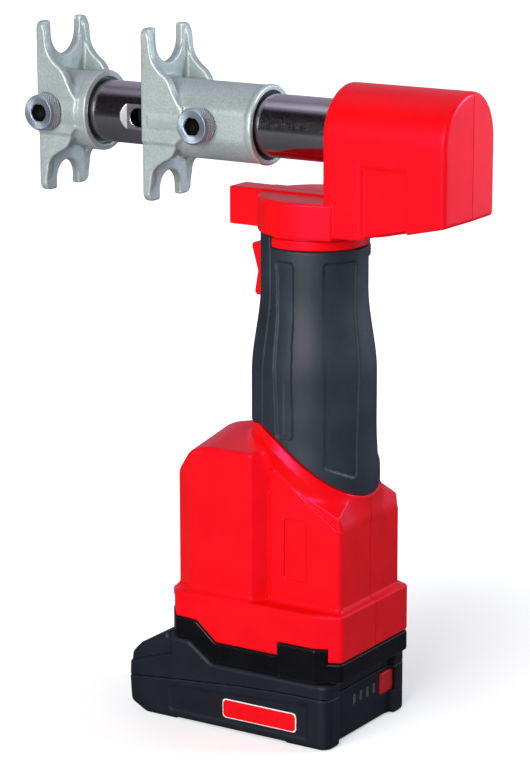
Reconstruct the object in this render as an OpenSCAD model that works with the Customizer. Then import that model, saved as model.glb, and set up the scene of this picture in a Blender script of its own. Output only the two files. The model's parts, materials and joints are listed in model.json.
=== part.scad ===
// Cordless axial press tool that pushes sliding sleeves onto the fittings of plastic pipe.
// +Z is up and the jaws point to -X. The origin is on the battery's base, under the axis of the grip.

/* [Battery pack] */
// Width of the pack
pack_w = 76; // [72:1:82]
// Distance from the grip's axis to the front of the pack
pack_front = 87; // [84:1:96]
// Distance from the grip's axis to the rear of the pack
pack_rear = 27.4; // [26:0.2:32]
// Height of the joint between the tub and the cover
pack_split = 25; // [24.5:0.5:27]
// Height of the cover's flat top above the joint
cover_h = 8; // [7:0.5:10]
// Rise of the cover's front part above its flat top
cover_step = 9.5; // [8:0.5:12]
// Rise of the sloped nose above the cover's front part
nose_rise = 4.5; // [3:0.5:6]
// Wall of the tub and the cover
pack_wall = 2.4; // [2:0.1:3]
// Chamfer on the upright corners of the pack
pack_corner = 7; // [4:0.5:9]
// Diameter of a cell
cell_d = 18.4; // [18:0.1:18.8]
// Room between a cell's end and the tub's wall
cell_room = 3; // [2.5:0.1:5]
// Number of cells
cells = 5; // [3:1:5]
// Width of the gauge button
gauge_button_w = 12; // [9:0.5:13]
// Width of the latch button on the nose
latch_w = 30; // [20:1:40]

/* [Shoe and housing] */
// Height of the black shoe's band
shoe_h = 10; // [8:0.5:12]
// Distance from the grip's axis to the front of the shoe
shoe_front = 62.5; // [60:0.5:66]
// Width of the shoe and of the flange above it
flange_w = 74.6; // [70:0.2:78]
// Distance from the grip's axis to the rear of the flange
flange_rear = 34.4; // [33:0.2:37]
// Height of the flange
flange_h = 24; // [20:0.5:28]
// Height of the red box above the flange
box_h = 73.6; // [70:0.2:78]
// Distance from the grip's axis to the front of the box
box_front = 61; // [58:0.5:62]
// Distance from the grip's axis to the rear of the box
box_rear = 31; // [30:0.2:33]
// Width of the box at its front bulge
bulge_w = 69; // [66:0.5:72]
// Width of the box at its rear panels
panel_w = 57; // [54:0.5:60]
// Rise of the box's roof at its middle
roof_rise = 5; // [3:0.5:7]
// Wall of the housing
shell_wall = 2.8; // [2.2:0.1:3.4]
// Outer radius of the collar round the foot of the grip
collar_r = 32.8; // [32:0.1:34]

/* [Grip] */
// Height from the box's edge to the top of the grip
grip_h = 99; // [92:1:106]
// Radius at the top of the grip
grip_top_r = 26; // [25:0.1:27]
// Radius at the swell of the grip
grip_swell_r = 30.5; // [29:0.1:31]
// Radius at the foot of the grip
grip_foot_r = 31.2; // [30:0.1:32]
// Depth of the sunk panels on the grip
grip_panel_depth = 1; // [0.5:0.1:1.5]
// Outer radius of the handle's plastic core
core_r = 22.4; // [22:0.1:23]
// Width of the rocker trigger
rocker_w = 15; // [12:0.5:16]
// Height of the rocker trigger
rocker_h = 26; // [22:0.5:28]
// Reach of the rocker's upper tip past the grip
rocker_reach = 6.5; // [4:0.5:8]

/* [Drive] */
// Radius of the motor, the gearbox and the pump
drive_r = 18; // [17.5:0.1:18]
// Length of the motor
motor_l = 56; // [50:1:60]
// Length of the gearbox
gearbox_l = 22; // [20:0.5:26]
// Teeth of the sun pinion
sun_teeth = 16; // [12:2:20]
// Teeth of a planet gear
planet_teeth = 20; // [18:2:22]
// Tooth module of the gears
gear_module = 0.5; // [0.4:0.05:0.5]
// Throw of the pump's eccentric
eccentric_throw = 1; // [0.5:0.1:1.5]
// Radius of the swivel spigot
spigot_r = 9; // [8:0.1:10]

/* [Head] */
// Height of the red neck ring
ring_h = 5.7; // [4:0.1:8]
// Radius of the neck ring
ring_r = 25.6; // [24:0.1:26]
// Radius of the hub
hub_r = 28; // [27:0.1:30]
// Height of the hub
hub_h = 17.4; // [16:0.2:20]
// Length of the nose in front of the hub's axis
nose_l = 45; // [40:0.5:50]
// Width of the nose
nose_w = 15; // [12:0.5:18]
// Height of the guide tube's axis above the hub's foot
tube_rise = 48.1; // [46:0.1:52]
// Width of the head
head_w = 47.4; // [46:0.2:50]
// Distance from the swivel axis to the front of the head
head_front = 16.8; // [15:0.2:18]
// Distance from the swivel axis to the rear edges of the head
head_rear = 82.4; // [82:0.2:90]
// Depth of the ridge on the head's rear face
ridge = 1.5; // [0.5:0.1:3]
// Depth of the sunk panel on the head's sides
side_panel_depth = 1.6; // [1:0.1:1.8]

/* [Tube and jaws] */
// Diameter of the guide tube
tube_d = 30.4; // [29:0.2:31]
// Bore of the guide tube
tube_bore = 22; // [20:0.2:23]
// Distance from the swivel axis to the front of the front jaw
front_jaw_x = 150.2; // [145:0.2:160]
// Length of the front jaw along the tube
front_jaw_l = 29; // [27:0.5:34]
// Distance from the swivel axis to the front of the press jaw at rest
press_jaw_x = 88; // [84:0.2:90]
// Length of the press jaw along the tube
press_jaw_l = 62.6; // [58:0.2:66]
// Stroke of the press jaw
stroke = 32; // [24:1:32]
// Width of a jaw
jaw_w = 38; // [37.6:0.2:40]
// Diameter of a jaw's boss
boss_d = 37.4; // [36:0.2:37.4]
// Thickness of the fork plates
fork_t = 4.4; // [3.5:0.1:6]
// Reach of the upper fork above the tube's axis
fork_up = 44.2; // [42:0.2:48]
// Reach of the lower fork below the tube's axis
fork_down = 40; // [38:0.2:44]
// Width of the front jaw's upper slot
front_slot_w = 24; // [20:0.5:26]
// Width of the press jaw's upper slot
press_slot_w = 22.4; // [20:0.2:26]
// Width of the lower slots
lower_slot_w = 17.6; // [14:0.2:20]
// Distance from the tube's axis to the bottom of each slot
slot_floor = 26.5; // [25:0.5:28]
// Length of the side webs behind the fork plates
web_l = 24; // [22:0.5:26]
// Thickness of the side webs
web_t = 4.6; // [3:0.1:6]

/* [Lock screws] */
// Diameter of the shank
screw_d = 8; // [6:0.1:8]
// Diameter of the knurled head
knob_d = 17.2; // [15:0.1:18]
// Height of the knurled head
knob_h = 8.4; // [6:0.2:10]
// Width across the flats of the hexagon socket
socket_w = 8; // [5:0.5:9]
// Distance from the front jaw's face to its screw
front_screw_in = 6.1; // [5:0.1:12]
// Distance from the press jaw's face to its screw
press_screw_in = 33.8; // [33:0.1:40]

/* [Hidden] */
$fn = 64;
// Overrun of every cut
over = 1;
// Radial running clearance of pins, shafts and sliding rods
run_fit = 0.05;
// Clearance between pieces that are only set into each other
set_fit = 0.2;
// Clearance between pieces that slide or turn past each other
move_gap = 0.4;

// Heights of the main levels
pack_top = pack_split + cover_h;
shoe_z = pack_top + move_gap;
flange_z = shoe_z + shoe_h;
flange_top = flange_z + flange_h;
box_top = flange_top + box_h;
grip_top = box_top + grip_h;
ring_z = grip_top;
hub_z = ring_z + ring_h + move_gap;
hub_top = hub_z + hub_h;
tube_z = hub_z + tube_rise;

// Battery pack
pack_hw = pack_w / 2;
pack_l = pack_front + pack_rear;
pack_mid = (pack_rear - pack_front) / 2;
foot_relief = 1;
foot_inset = 8;
foot_front_share = 0.24;
foot_rear_share = 0.19;
nose_face_share = 0.8;
nose_slope_share = 0.33;
cell_pitch = cell_d + set_fit;
cell_l = pack_w - 2 * pack_wall - 2 * cell_room;
cell_z = pack_wall + cell_d / 2 + set_fit;
cover_slope = 14;
cover_raise_x = -shoe_front + set_fit;
cover_front_in = 12.5;
cover_front_x = -shoe_front + cover_front_in;
tongue_w = 40;
tongue_lip = 4;
tongue_h = 6;
tongue_lip_h = 3;
tongue_front = 38;
tongue_rear = 20;
blade_t = 1.2;
blade_l = 8;
blade_pitch = 12;
blades = 3;
blade_x = 6;
board_t = 1.6;
gauge_z_share = 0.72;
gauge_bar_w = 2.7;
gauge_bar_h = 5.4;
gauge_bars = 4;
gauge_pitch = 6.2;
gauge_button_h = 11;
gauge_button_edge = 10;
gauge_button_end = pack_hw - gauge_button_edge;
gauge_row = 36.1;
gauge_first_y = gauge_button_end - gauge_row;
gauge_button_y = gauge_button_end - gauge_button_w / 2;
gauge_proud = 0.8;
gauge_travel = 0.6;
gauge_room = 2.4;
gauge_board_x = pack_rear - pack_wall - board_t - gauge_room;
latch_h = 7;
latch_travel = 3;
latch_proud = 1.2;
latch_body = 6;
latch_depth = latch_travel + latch_body;
pack_screw_in = 6.2;
post_r = 3.4;
small_screw_r = 1.5;
small_head_r = 2.8;
small_head_h = 2.4;
pack_screw_top = 6;

// Shoe and flange
flange_hw = flange_w / 2;
flange_chamfer_x = 13;
flange_chamfer_y = 6;
flange_front_chamfer = 5;
shoe_tab_x = 1.5;
shoe_tab_l = 26;
shoe_tab_rise = 7;
shoe_tab_proud = 0.3;
shoe_tab_root = 2.3;
shoe_tab_out = max(pack_hw, flange_hw) + shoe_tab_proud;
shoe_tab_in = min(pack_hw, flange_hw) - shoe_tab_root;
board_post_h = 3;
board_l = 60;
board_w = 40;
board_x = -20;

// Red box
bulge_hw = bulge_w / 2;
panel_hw = panel_w / 2;
box_corner = 4;
box_rear_corner = 2;
groove_front = 15.4;
groove_rear = 8;
roof_front_low_share = 0.79;
roof_front_mid_share = 0.945;
roof_step_x = 9;
roof_flat_x = 22;
diag_top_drop = 7.5;
diag_rear_drop = 31;
diag_rear_in = 3.7;
rear_edge_drop = 33.5;
post_front_in = 9;
post_front_low = 8;
post_front_high_share = 0.68;
post_rear_in = 6;
post_rear_low = 10;
post_rear_high_share = 0.733;
label_depth = 0.6;
label_x = -0.5;
label_l = 12.5;
label_rise = 12.6;
label_z = flange_top + label_rise;
label_h = 30;

// Joint line between the grip and the collar, in side view
joint_front_rise = 12;
joint_bend_x = 4.5;
joint_bend_rise = 9;
joint_rear_drop = 21;
rim_drop = 6;
seat_gap = 0.3;

// Grip: shares of its height and its swell, and the middle and half width of its panels in degrees
grip_shares = [[1, 0], [0.93, 0.02], [0.78, 0.02], [0.61, 0.42], [0.45, 0.97], [0.2, 1], [-0.1, 1]];
grip_panel_angles = [[-94, 12], [-33, 19], [33, 19], [94, 12]];
panel_end = 5;

// Drive line
core_bore = drive_r + set_fit;
core_rise = 14;
core_z = flange_top + core_rise;
motor_lead = 3;
motor_z = core_z + motor_lead;
gearbox_z = motor_z + motor_l;
pump_z = gearbox_z + gearbox_l;
pump_drop = 3;
pump_top = grip_top - pump_drop;
can_wall = 2.6;
cap_h = 4;
shaft_r = 2.2;
rotor_air = 2.4;
rotor_r = drive_r - can_wall - rotor_air;
rotor_gap = 6;
bearing_r = 6;
bearing_h = 4;
ring_teeth = sun_teeth + 2 * planet_teeth;
gear_h = 9;
tooth_play = 0.15;
sun_pitch_r = sun_teeth * gear_module / 2;
planet_pitch_r = planet_teeth * gear_module / 2;
ring_pitch_r = ring_teeth * gear_module / 2;
planet_orbit = sun_pitch_r + planet_pitch_r;
planets = 3;
planet_pin_r = 1.6;
gear_lead = 3;
gear_z = gearbox_z + gear_lead;
carrier_z = gear_z + gear_h + move_gap;
carrier_h = 4;
carrier_gap = 1;
carrier_r = ring_pitch_r - carrier_gap;
eccentric_r = 5;
eccentric_bearing_t = 1.6;
pump_wall = 5;
pump_pocket_r = drive_r - pump_wall;
pump_pocket_h = 13;
piston_r = 3;
piston_l = 7.4;
piston_travel = 2 * eccentric_throw;
piston_z = pump_z + pump_pocket_h / 2;
eccentric_h = pump_z + pump_pocket_h - move_gap - carrier_z - carrier_h;
bladder_r = 10.5;
bladder_wall = 1.5;
pump_flat_in = 4.6;
pump_flat = drive_r - pump_flat_in;
spigot_foot = 8;
bladder_z = pump_z + pump_pocket_h + can_wall;
bladder_h = pump_top - spigot_foot - can_wall - bladder_z;
seal_t = 1.6;
seal_shares = [0.25, 0.625];
tooth_shares = [0, 0.12, 0.38, 0.5];
piston_tip = eccentric_r + eccentric_bearing_t + eccentric_throw + move_gap;

// Rocker trigger and its switch
rocker_drop = 2;
rocker_z = grip_top - rocker_drop - rocker_h;
rocker_mid = rocker_z + rocker_h / 2;
rocker_pin_r = 1.2;
rocker_pin_in = 3.2;
rocker_pin_x = -core_r + rocker_pin_in;
rocker_pin_seat = 0.5;
rocker_hub_r = 2.6;
rocker_back_gap = 1.2;
rocker_back = core_bore + rocker_back_gap;
rocker_waist_share = 0.5;
rocker_waist_in = 4;
rocker_lower_in = 2;
rocker_tip_drop = 2;
switch_t = 2.6;
switch_w = 12;
switch_h = 20;
slot_clear = 0.8;
rocker_pin_l = rocker_w + 2 * slot_clear + 2 * rocker_pin_seat;

// Head
head_hw = head_w / 2;
head_foot_front = 1.5;
head_foot_mid = 38;
head_foot_rear = 6.4;
head_foot_end = 10.2;
head_step_x = 63;
panel_front = 39.4;
panel_rear = 62.2;
panel_top_drop = 13;
barrel_gap = 1.3;
barrel_r = head_hw - shell_wall - barrel_gap;
barrel_front = head_front + shell_wall + set_fit;
barrel_rear = head_rear - shell_wall - set_fit;
tube_seat = 9;
tube_rear = barrel_front + tube_seat;
tube_stop = 0.4;
cylinder_r = tube_d / 2 - tube_stop;
cap_l = 7;
block_w = 28;
block_web_front = 30;
block_web_rear = 56;
block_foot_h = hub_h - 2 * shell_wall - 2 * set_fit - move_gap;
block_foot_wall = 6;
block_foot_r = spigot_r + block_foot_wall;
block_z = hub_z + shell_wall + set_fit;
block_arm_z = hub_z + head_foot_front + shell_wall + set_fit;
block_web_z = hub_z + head_foot_rear + shell_wall + set_fit;
piston_head_l = 10;
piston_seal_w = 3;
piston_seal_depth = 1.6;
rod_r = tube_bore / 2 - run_fit;
piston_head_r = cylinder_r - run_fit;
piston_rear = barrel_rear - cap_l - set_fit;
piston_front = piston_rear - piston_head_l;
rod_nose = 20;
rod_front = -press_jaw_x + press_screw_in - rod_nose;
plug_l = 12;
plug_r = tube_bore / 2 - run_fit;
spring_wall = 2.6;
spring_clear = 0.6;
spring_front = -front_jaw_x + plug_l;
head_post_in = 14.4;
head_post_drop = 30;
neck_post_in = 5.6;
neck_post_drop = 25.8;
nose_post_in = 9;
head_posts = [
    [head_rear - head_post_in, tube_z - head_post_drop],
    [head_front + neck_post_in, tube_z - neck_post_drop],
    [-nose_l + nose_post_in, hub_z + hub_h / 2]
];

// Jaws
boss_r = boss_d / 2;
spot_depth = 0.4;
spot_gap = 0.5;
front_seat = spot_depth - jaw_w / 2;
tube_r = tube_d / 2;
jaw_bore_r = tube_r + run_fit;
fork_corner = 4;
web_up_shares = [[0.18, 0.8], [0.26, 0.655], [0.47, 0.53], [0.66, 0.455], [0.8, 0.28], [1, 0.14]];
web_down_shares = [[1, 0.16], [0.8, 0.25], [0.76, 0.36], [0.47, 0.5], [0.18, 0.67]];
flat_half = 6;
flat_in = boss_r - sqrt(boss_r * boss_r - flat_half * flat_half);
flat_rear = 4;
flat_lead = 1.2;
wiper_l = 3;
wiper_t = 1.7;
wiper_depth = 0.6;
slot_side = 0.4;
slot_r = screw_d / 2 + slot_side;
slot_front_room = 7;
tube_flat_half = 6.2;
tube_flat_in = tube_r - sqrt(tube_r * tube_r - tube_flat_half * tube_flat_half);
tube_flat_lead = 5;
knob_gap = 0.3;
socket_depth = 5;
screw_depth = 5;
press_screw_x = -press_jaw_x + press_screw_in;
front_screw_x = -front_jaw_x + front_screw_in;

// Points followed by their mirror image across the centre plane
function both_sides(points) =
    concat(points, [for (i = [len(points) - 1 : -1 : 0]) [points[i][0], -points[i][1]]]);

// A side-view outline [x, z] drawn through the width, centred on the middle plane
module side_slab(points, width) {
    rotate([90, 0, 0])
        translate([0, 0, -width / 2])
            linear_extrude(width) polygon(points);
}

// A front-view outline [y, z] drawn along X from one place to another
module front_slab(points, x0, x1) {
    translate([x0, 0, 0])
        rotate([90, 0, 90])
            linear_extrude(x1 - x0) polygon(points);
}

// A plan outline [x, y] drawn from one height to another
module plan_slab(points, z0, z1) {
    translate([0, 0, z0]) linear_extrude(z1 - z0) polygon(points);
}

// A cylinder along X
module rod_x(x0, x1, r) {
    translate([x0, 0, 0]) rotate([0, 90, 0]) cylinder(h = x1 - x0, r = r);
}

// A cylinder along Y
module rod_y(y0, y1, r) {
    translate([0, y0, 0]) rotate([-90, 0, 0]) cylinder(h = y1 - y0, r = r);
}

// A block between two corners
module block(low, high) {
    translate(low) cube(high - low);
}

// One side of the middle plane: -1 is the left half, 1 the right half
module half(side) {
    reach = front_jaw_x + head_rear;
    intersection() {
        children();
        translate([-reach, side < 0 ? -reach : 0, -reach])
            cube([2 * reach, reach, 2 * reach + tube_z]);
    }
}

// Battery pack

function pack_plan(inset) = both_sides([
    [-pack_front + inset, -pack_hw + pack_corner],
    [-pack_front + pack_corner, -pack_hw + inset],
    [pack_rear - pack_corner, -pack_hw + inset],
    [pack_rear - inset, -pack_hw + pack_corner]
]);

function pack_posts() = [
    for (x = [-pack_front + pack_screw_in, pack_rear - pack_screw_in])
        for (y = [-pack_hw + pack_screw_in, pack_hw - pack_screw_in]) [x, y]
];

module gauge_window(y, w, h, room) {
    z = pack_split * gauge_z_share;
    block([pack_rear - pack_wall - over, y - w / 2 - room, z - h / 2 - room],
          [pack_rear + over, y + w / 2 + room, z + h / 2 + room]);
}

module pack_tub() {
    relief_x0 = -pack_front + pack_l * foot_front_share;
    relief_x1 = pack_rear - pack_l * foot_rear_share;
    color("#1d1f23") difference() {
        union() {
            difference() {
                plan_slab(pack_plan(0), 0, pack_split);
                plan_slab(pack_plan(pack_wall), pack_wall, pack_split + over);
            }
            intersection() {
                plan_slab(pack_plan(0), 0, pack_split);
                for (p = pack_posts()) translate([p[0], p[1], 0]) cylinder(h = pack_split, r = post_r);
            }
        }
        for (side = [-1, 1])
            translate([relief_x0, side * pack_hw - foot_inset, -over])
                cube([relief_x1 - relief_x0, 2 * foot_inset, over + foot_relief]);
        for (x = [-pack_front, pack_rear])
            translate([x - foot_inset, -pack_hw + foot_inset * 2, -over])
                cube([2 * foot_inset, pack_w - foot_inset * 4, over + foot_relief]);
        for (i = [0 : gauge_bars - 1])
            gauge_window(gauge_first_y + i * gauge_pitch, gauge_bar_w, gauge_bar_h, 0);
        gauge_window(gauge_button_y, gauge_button_w, gauge_button_h, set_fit);
        for (p = pack_posts()) translate([p[0], p[1], -over]) {
            cylinder(h = pack_split + 2 * over, r = small_screw_r + set_fit);
            cylinder(h = over + foot_relief + small_head_h, r = small_head_r + set_fit);
        }
    }
}

// Side outline of the cover, drawn in by an inset
function cover_side(inset) = [
    [-pack_front + inset, pack_split],
    [-pack_front + inset, pack_split + cover_h * nose_face_share - inset],
    [-pack_front + inset + (pack_front - shoe_front) * nose_slope_share,
     pack_top + cover_step * nose_slope_share - inset],
    [cover_raise_x - move_gap - inset, pack_top + cover_step + nose_rise - inset],
    [cover_raise_x - move_gap - inset, pack_top + cover_step - inset],
    [cover_front_x - inset, pack_top + cover_step - inset],
    [cover_front_x + cover_slope - inset, pack_top - inset],
    [pack_rear - inset, pack_top - inset],
    [pack_rear - inset, pack_split]
];

module latch_space(room, proud) {
    z = pack_split + cover_h * nose_face_share / 2;
    h = latch_h * nose_face_share;
    block([-pack_front - proud, -latch_w / 2 - room, z - h / 2 - room],
          [-pack_front - proud + latch_depth, latch_w / 2 + room, z + h / 2 + room]);
}

module pack_cover() {
    color("#202226") difference() {
        union() {
            intersection() {
                plan_slab(pack_plan(0), pack_split, pack_top + cover_step + nose_rise + over);
                side_slab(cover_side(0), pack_w + 2 * over);
            }
            block([-tongue_front, -tongue_w / 2, pack_top - pack_wall],
                  [tongue_rear, tongue_w / 2, pack_top + tongue_h]);
            block([-tongue_front, -tongue_w / 2 - tongue_lip, pack_top + tongue_h - tongue_lip_h],
                  [tongue_rear, tongue_w / 2 + tongue_lip, pack_top + tongue_h]);
        }
        difference() {
            intersection() {
                plan_slab(pack_plan(pack_wall), pack_split - over, pack_top + cover_step + nose_rise);
                side_slab(cover_side(pack_wall), pack_w);
            }
            for (p = pack_posts()) translate([p[0], p[1], 0]) cylinder(h = tube_z, r = post_r);
        }
        for (p = pack_posts()) translate([p[0], p[1], pack_split - over])
            cylinder(h = over + pack_screw_top, r = small_screw_r + set_fit);
        for (i = [0 : blades - 1]) {
            y = (i - (blades - 1) / 2) * blade_pitch;
            block([blade_x - move_gap, y - blade_t / 2 - move_gap, pack_top],
                  [tongue_rear + over, y + blade_t / 2 + move_gap, pack_top + tongue_h + over]);
        }
        latch_space(set_fit, latch_proud + over);
    }
}

module pack_cells() {
    color("#3c6fb0") for (i = [0 : cells - 1])
        translate([pack_mid + (i - (cells - 1) / 2) * cell_pitch, 0, cell_z])
            rod_y(-cell_l / 2, cell_l / 2, cell_d / 2);
}

module gauge_board() {
    y0 = gauge_first_y - gauge_bar_w;
    y1 = gauge_button_y + gauge_button_w / 2;
    color("#1f6b3a")
        block([gauge_board_x, y0, pack_wall], [gauge_board_x + board_t, y1, pack_split - set_fit]);
}

module gauge_bars_lens() {
    z = pack_split * gauge_z_share;
    color("#d9dcdc") for (i = [0 : gauge_bars - 1]) {
        y = gauge_first_y + i * gauge_pitch;
        block([gauge_board_x + board_t, y - gauge_bar_w / 2 + set_fit, z - gauge_bar_h / 2 + set_fit],
              [pack_rear, y + gauge_bar_w / 2 - set_fit, z + gauge_bar_h / 2 - set_fit]);
    }
}

module gauge_button() {
    z = pack_split * gauge_z_share;
    x0 = gauge_board_x + board_t + 2 * gauge_travel;
    color("#c8161d")
        block([x0, gauge_button_y - gauge_button_w / 2, z - gauge_button_h / 2],
              [pack_rear + gauge_proud, gauge_button_y + gauge_button_w / 2, z + gauge_button_h / 2]);
}

module latch_button() {
    color("#17181b") latch_space(0, latch_proud);
}

module pack_screws() {
    color("silver") for (p = pack_posts()) translate([p[0], p[1], foot_relief]) {
        cylinder(h = small_head_h, r = small_head_r);
        cylinder(h = pack_split + pack_screw_top - foot_relief - over, r = small_screw_r);
    }
}

// Shoe between the pack and the housing

function flange_plan(inset) = both_sides([
    [-shoe_front + inset, -flange_hw + flange_front_chamfer],
    [-shoe_front + flange_front_chamfer, -flange_hw + inset],
    [flange_rear - flange_chamfer_x, -flange_hw + inset],
    [flange_rear - inset, -flange_hw + flange_chamfer_y]
]);

// Height of the band's lower edge, which steps down behind the raised front of the pack
function band_line(z) = [
    [-shoe_front - over, z + cover_step],
    [cover_front_x, z + cover_step],
    [cover_front_x + cover_slope, z],
    [flange_rear + over, z]
];

// The space between that edge and a level above or below it
function band_to(z, level) =
    concat(band_line(z), [[flange_rear + over, level], [-shoe_front - over, level]]);

module base_shoe() {
    lip_y = tongue_w / 2 + tongue_lip + move_gap;
    channel_z = pack_top + tongue_h + move_gap;
    color("#17181b") difference() {
        union() {
            difference() {
                plan_slab(flange_plan(0), shoe_z, flange_z + cover_step);
                side_slab(band_to(shoe_z, 0), flange_w + 2 * over);
                side_slab(band_to(flange_z, box_top), flange_w + 2 * over);
            }
            for (side = [-1, 1])
                block([shoe_tab_x, side < 0 ? -shoe_tab_out : shoe_tab_in, shoe_z],
                      [shoe_tab_x + shoe_tab_l, side < 0 ? -shoe_tab_in : shoe_tab_out,
                       flange_z + shoe_tab_rise]);
            for (sx = [-1, 1]) for (sy = [-1, 1])
                translate([board_x + sx * (board_l / 2 - post_r),
                           sy * (board_w / 2 - post_r),
                           flange_z - move_gap])
                    cylinder(h = move_gap + board_post_h + cover_step, r = post_r);
        }
        // Channel for the pack's tongue and its lips, open to the front
        block([-shoe_front - over, -tongue_w / 2 - move_gap, shoe_z - over],
              [tongue_rear + move_gap, tongue_w / 2 + move_gap, channel_z]);
        block([-shoe_front - over, -lip_y, channel_z - tongue_lip_h - 2 * move_gap],
              [tongue_rear + move_gap, lip_y, channel_z]);
    }
}

module terminal_blades() {
    color("#c9a24a") for (i = [0 : blades - 1]) {
        y = (i - (blades - 1) / 2) * blade_pitch;
        block([blade_x, y - blade_t / 2, pack_top + move_gap],
              [blade_x + blade_l, y + blade_t / 2, pack_top + tongue_h + move_gap]);
    }
}

module control_board() {
    color("#1f6b3a")
        block([board_x - board_l / 2, -board_w / 2, flange_z + board_post_h + cover_step],
              [board_x + board_l / 2, board_w / 2, flange_z + board_post_h + cover_step + board_t]);
}

// Red housing, split on the middle plane

function box_plan(inset) = both_sides([
    [-box_front + inset, -bulge_hw + box_corner + inset],
    [-box_front + box_corner + inset, -bulge_hw + inset],
    [-groove_front - inset, -bulge_hw + inset],
    [-groove_rear - inset, -panel_hw + inset],
    [box_rear - box_rear_corner - inset, -panel_hw + inset],
    [box_rear - inset, -panel_hw + box_rear_corner + inset]
]);

function box_side(inset) = [
    [-box_front + inset, flange_z],
    [-box_front + inset, flange_top + box_h * roof_front_low_share - inset],
    [-box_front + roof_step_x + inset, flange_top + box_h * roof_front_mid_share - inset],
    [-box_front + roof_flat_x + inset, box_top + roof_rise - inset],
    [-groove_front - inset, box_top + roof_rise - inset],
    [-groove_rear - inset, box_top - diag_top_drop - inset],
    [box_rear - diag_rear_in - inset, box_top - diag_rear_drop - inset],
    [box_rear - inset, box_top - rear_edge_drop - inset],
    [box_rear - inset, flange_z]
];

function roof_front(inset) = [
    [-flange_hw, flange_z],
    [-flange_hw, box_top - inset],
    [-bulge_hw, box_top - inset],
    [0, box_top + roof_rise - inset],
    [bulge_hw, box_top - inset],
    [flange_hw, box_top - inset],
    [flange_hw, flange_z]
];

module box_form(inset) {
    intersection() {
        plan_slab(box_plan(inset), flange_z, box_top + roof_rise);
        side_slab(box_side(inset), flange_w);
        front_slab(roof_front(inset), -box_front, box_rear);
    }
}

// Side outline of all that lies under the joint between the collar and the grip
function joint_line(drop) = [
    [-2 * collar_r, box_top + joint_front_rise - drop],
    [-joint_bend_x, box_top + joint_bend_rise - drop],
    [collar_r, box_top - joint_rear_drop - drop],
    [2 * collar_r, box_top - joint_rear_drop - drop]
];

module under_joint(drop) {
    side_slab(concat(joint_line(drop), [[2 * collar_r, 0], [-2 * collar_r, 0]]), 4 * collar_r);
}

module collar() {
    // The collar starts on the sloped top of the box, so it stays off the rear face
    foot = concat(
        [for (p = box_side(shell_wall)) if (p[1] > flange_top) p],
        [[2 * collar_r, box_top - rear_edge_drop], [2 * collar_r, 2 * box_top], [-box_front, 2 * box_top]]);
    intersection() {
        union() {
            intersection() {
                cylinder(h = 2 * box_top, r = collar_r);
                under_joint(rim_drop);
            }
            intersection() {
                cylinder(h = 2 * box_top, r = grip_foot_r);
                under_joint(0);
            }
        }
        side_slab(foot, 4 * collar_r);
    }
}

function housing_posts() = [
    [-box_front + post_front_in, flange_top + post_front_low],
    [-box_front + post_front_in, flange_top + box_h * post_front_high_share],
    [box_rear - post_rear_in, flange_top + post_rear_low],
    [box_rear - post_rear_in, flange_top + (box_h - rear_edge_drop) * post_rear_high_share]
];

module housing_solid() {
    notch_out = shoe_tab_out + over;
    difference() {
        union() {
            plan_slab(flange_plan(0), flange_z, flange_top);
            box_form(0);
            collar();
            translate([0, 0, core_z]) cylinder(h = grip_top - core_z, r = core_r);
        }
        // Hollow of the flange and the box, left solid round the core and the screw posts
        difference() {
            union() {
                plan_slab(flange_plan(shell_wall), flange_z - over, flange_top - shell_wall);
                box_form(shell_wall);
            }
            translate([0, 0, core_z]) cylinder(h = grip_top, r = core_r);
            for (p = housing_posts()) translate([p[0], 0, p[1]]) rod_y(-flange_w, flange_w, post_r);
        }
        // Bore for the motor, the gearbox and the pump
        translate([0, 0, core_z - over]) cylinder(h = grip_top, r = core_bore);
        // Lower edge that follows the shoe, and the notches for its tabs
        side_slab(band_to(flange_z, 0), flange_w + 2 * over);
        for (side = [-1, 1])
            block([shoe_tab_x - set_fit, side < 0 ? -notch_out : shoe_tab_in - set_fit, 0],
                  [shoe_tab_x + shoe_tab_l + set_fit, side < 0 ? set_fit - shoe_tab_in : notch_out,
                   flange_z + shoe_tab_rise + set_fit]);
        // Opening for the rocker and the seat of its pin
        block([-2 * core_r, -rocker_w / 2 - slot_clear, rocker_z - slot_clear],
              [-core_bore + rocker_hub_r, rocker_w / 2 + slot_clear, grip_top + over]);
        translate([rocker_pin_x, 0, rocker_mid])
            rod_y(-rocker_pin_l / 2 - set_fit, rocker_pin_l / 2 + set_fit, rocker_pin_r + run_fit);
        // Sunk plates on the rear panels
        for (side = [-1, 1])
            translate([label_x, side * panel_hw - label_depth, label_z])
                cube([label_l, 2 * label_depth, label_h]);
        // Screw holes from the right
        for (p = housing_posts()) translate([p[0], 0, p[1]]) {
            rod_y(-panel_hw / 2, flange_w, small_screw_r + set_fit);
            rod_y(panel_hw / 2, flange_w, small_head_r + set_fit);
        }
    }
}

module housing_left() {
    color("#e3141b") half(-1) housing_solid();
}

module housing_right() {
    color("#e3141b") half(1) housing_solid();
}

module housing_screws() {
    color("silver") for (p = housing_posts()) translate([p[0], 0, p[1]]) {
        rod_y(-panel_hw / 2 + over, panel_hw / 2, small_screw_r);
        rod_y(panel_hw / 2, panel_hw / 2 + small_head_h, small_head_r);
    }
}

// Rubber grip

// Radius and height along the grip, from its top down to below the joint line
function grip_outline(inset) = concat(
    [for (s = grip_shares)
        [grip_top_r + (grip_swell_r - grip_top_r) * s[1] - inset, box_top + grip_h * s[0]]],
    [[grip_foot_r - inset, box_top - joint_rear_drop - over]]);

module grip_body(inset) {
    points = grip_outline(inset);
    rotate_extrude() polygon(concat([[0, points[0][1]]], points, [[0, points[len(points) - 1][1]]]));
}

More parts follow.
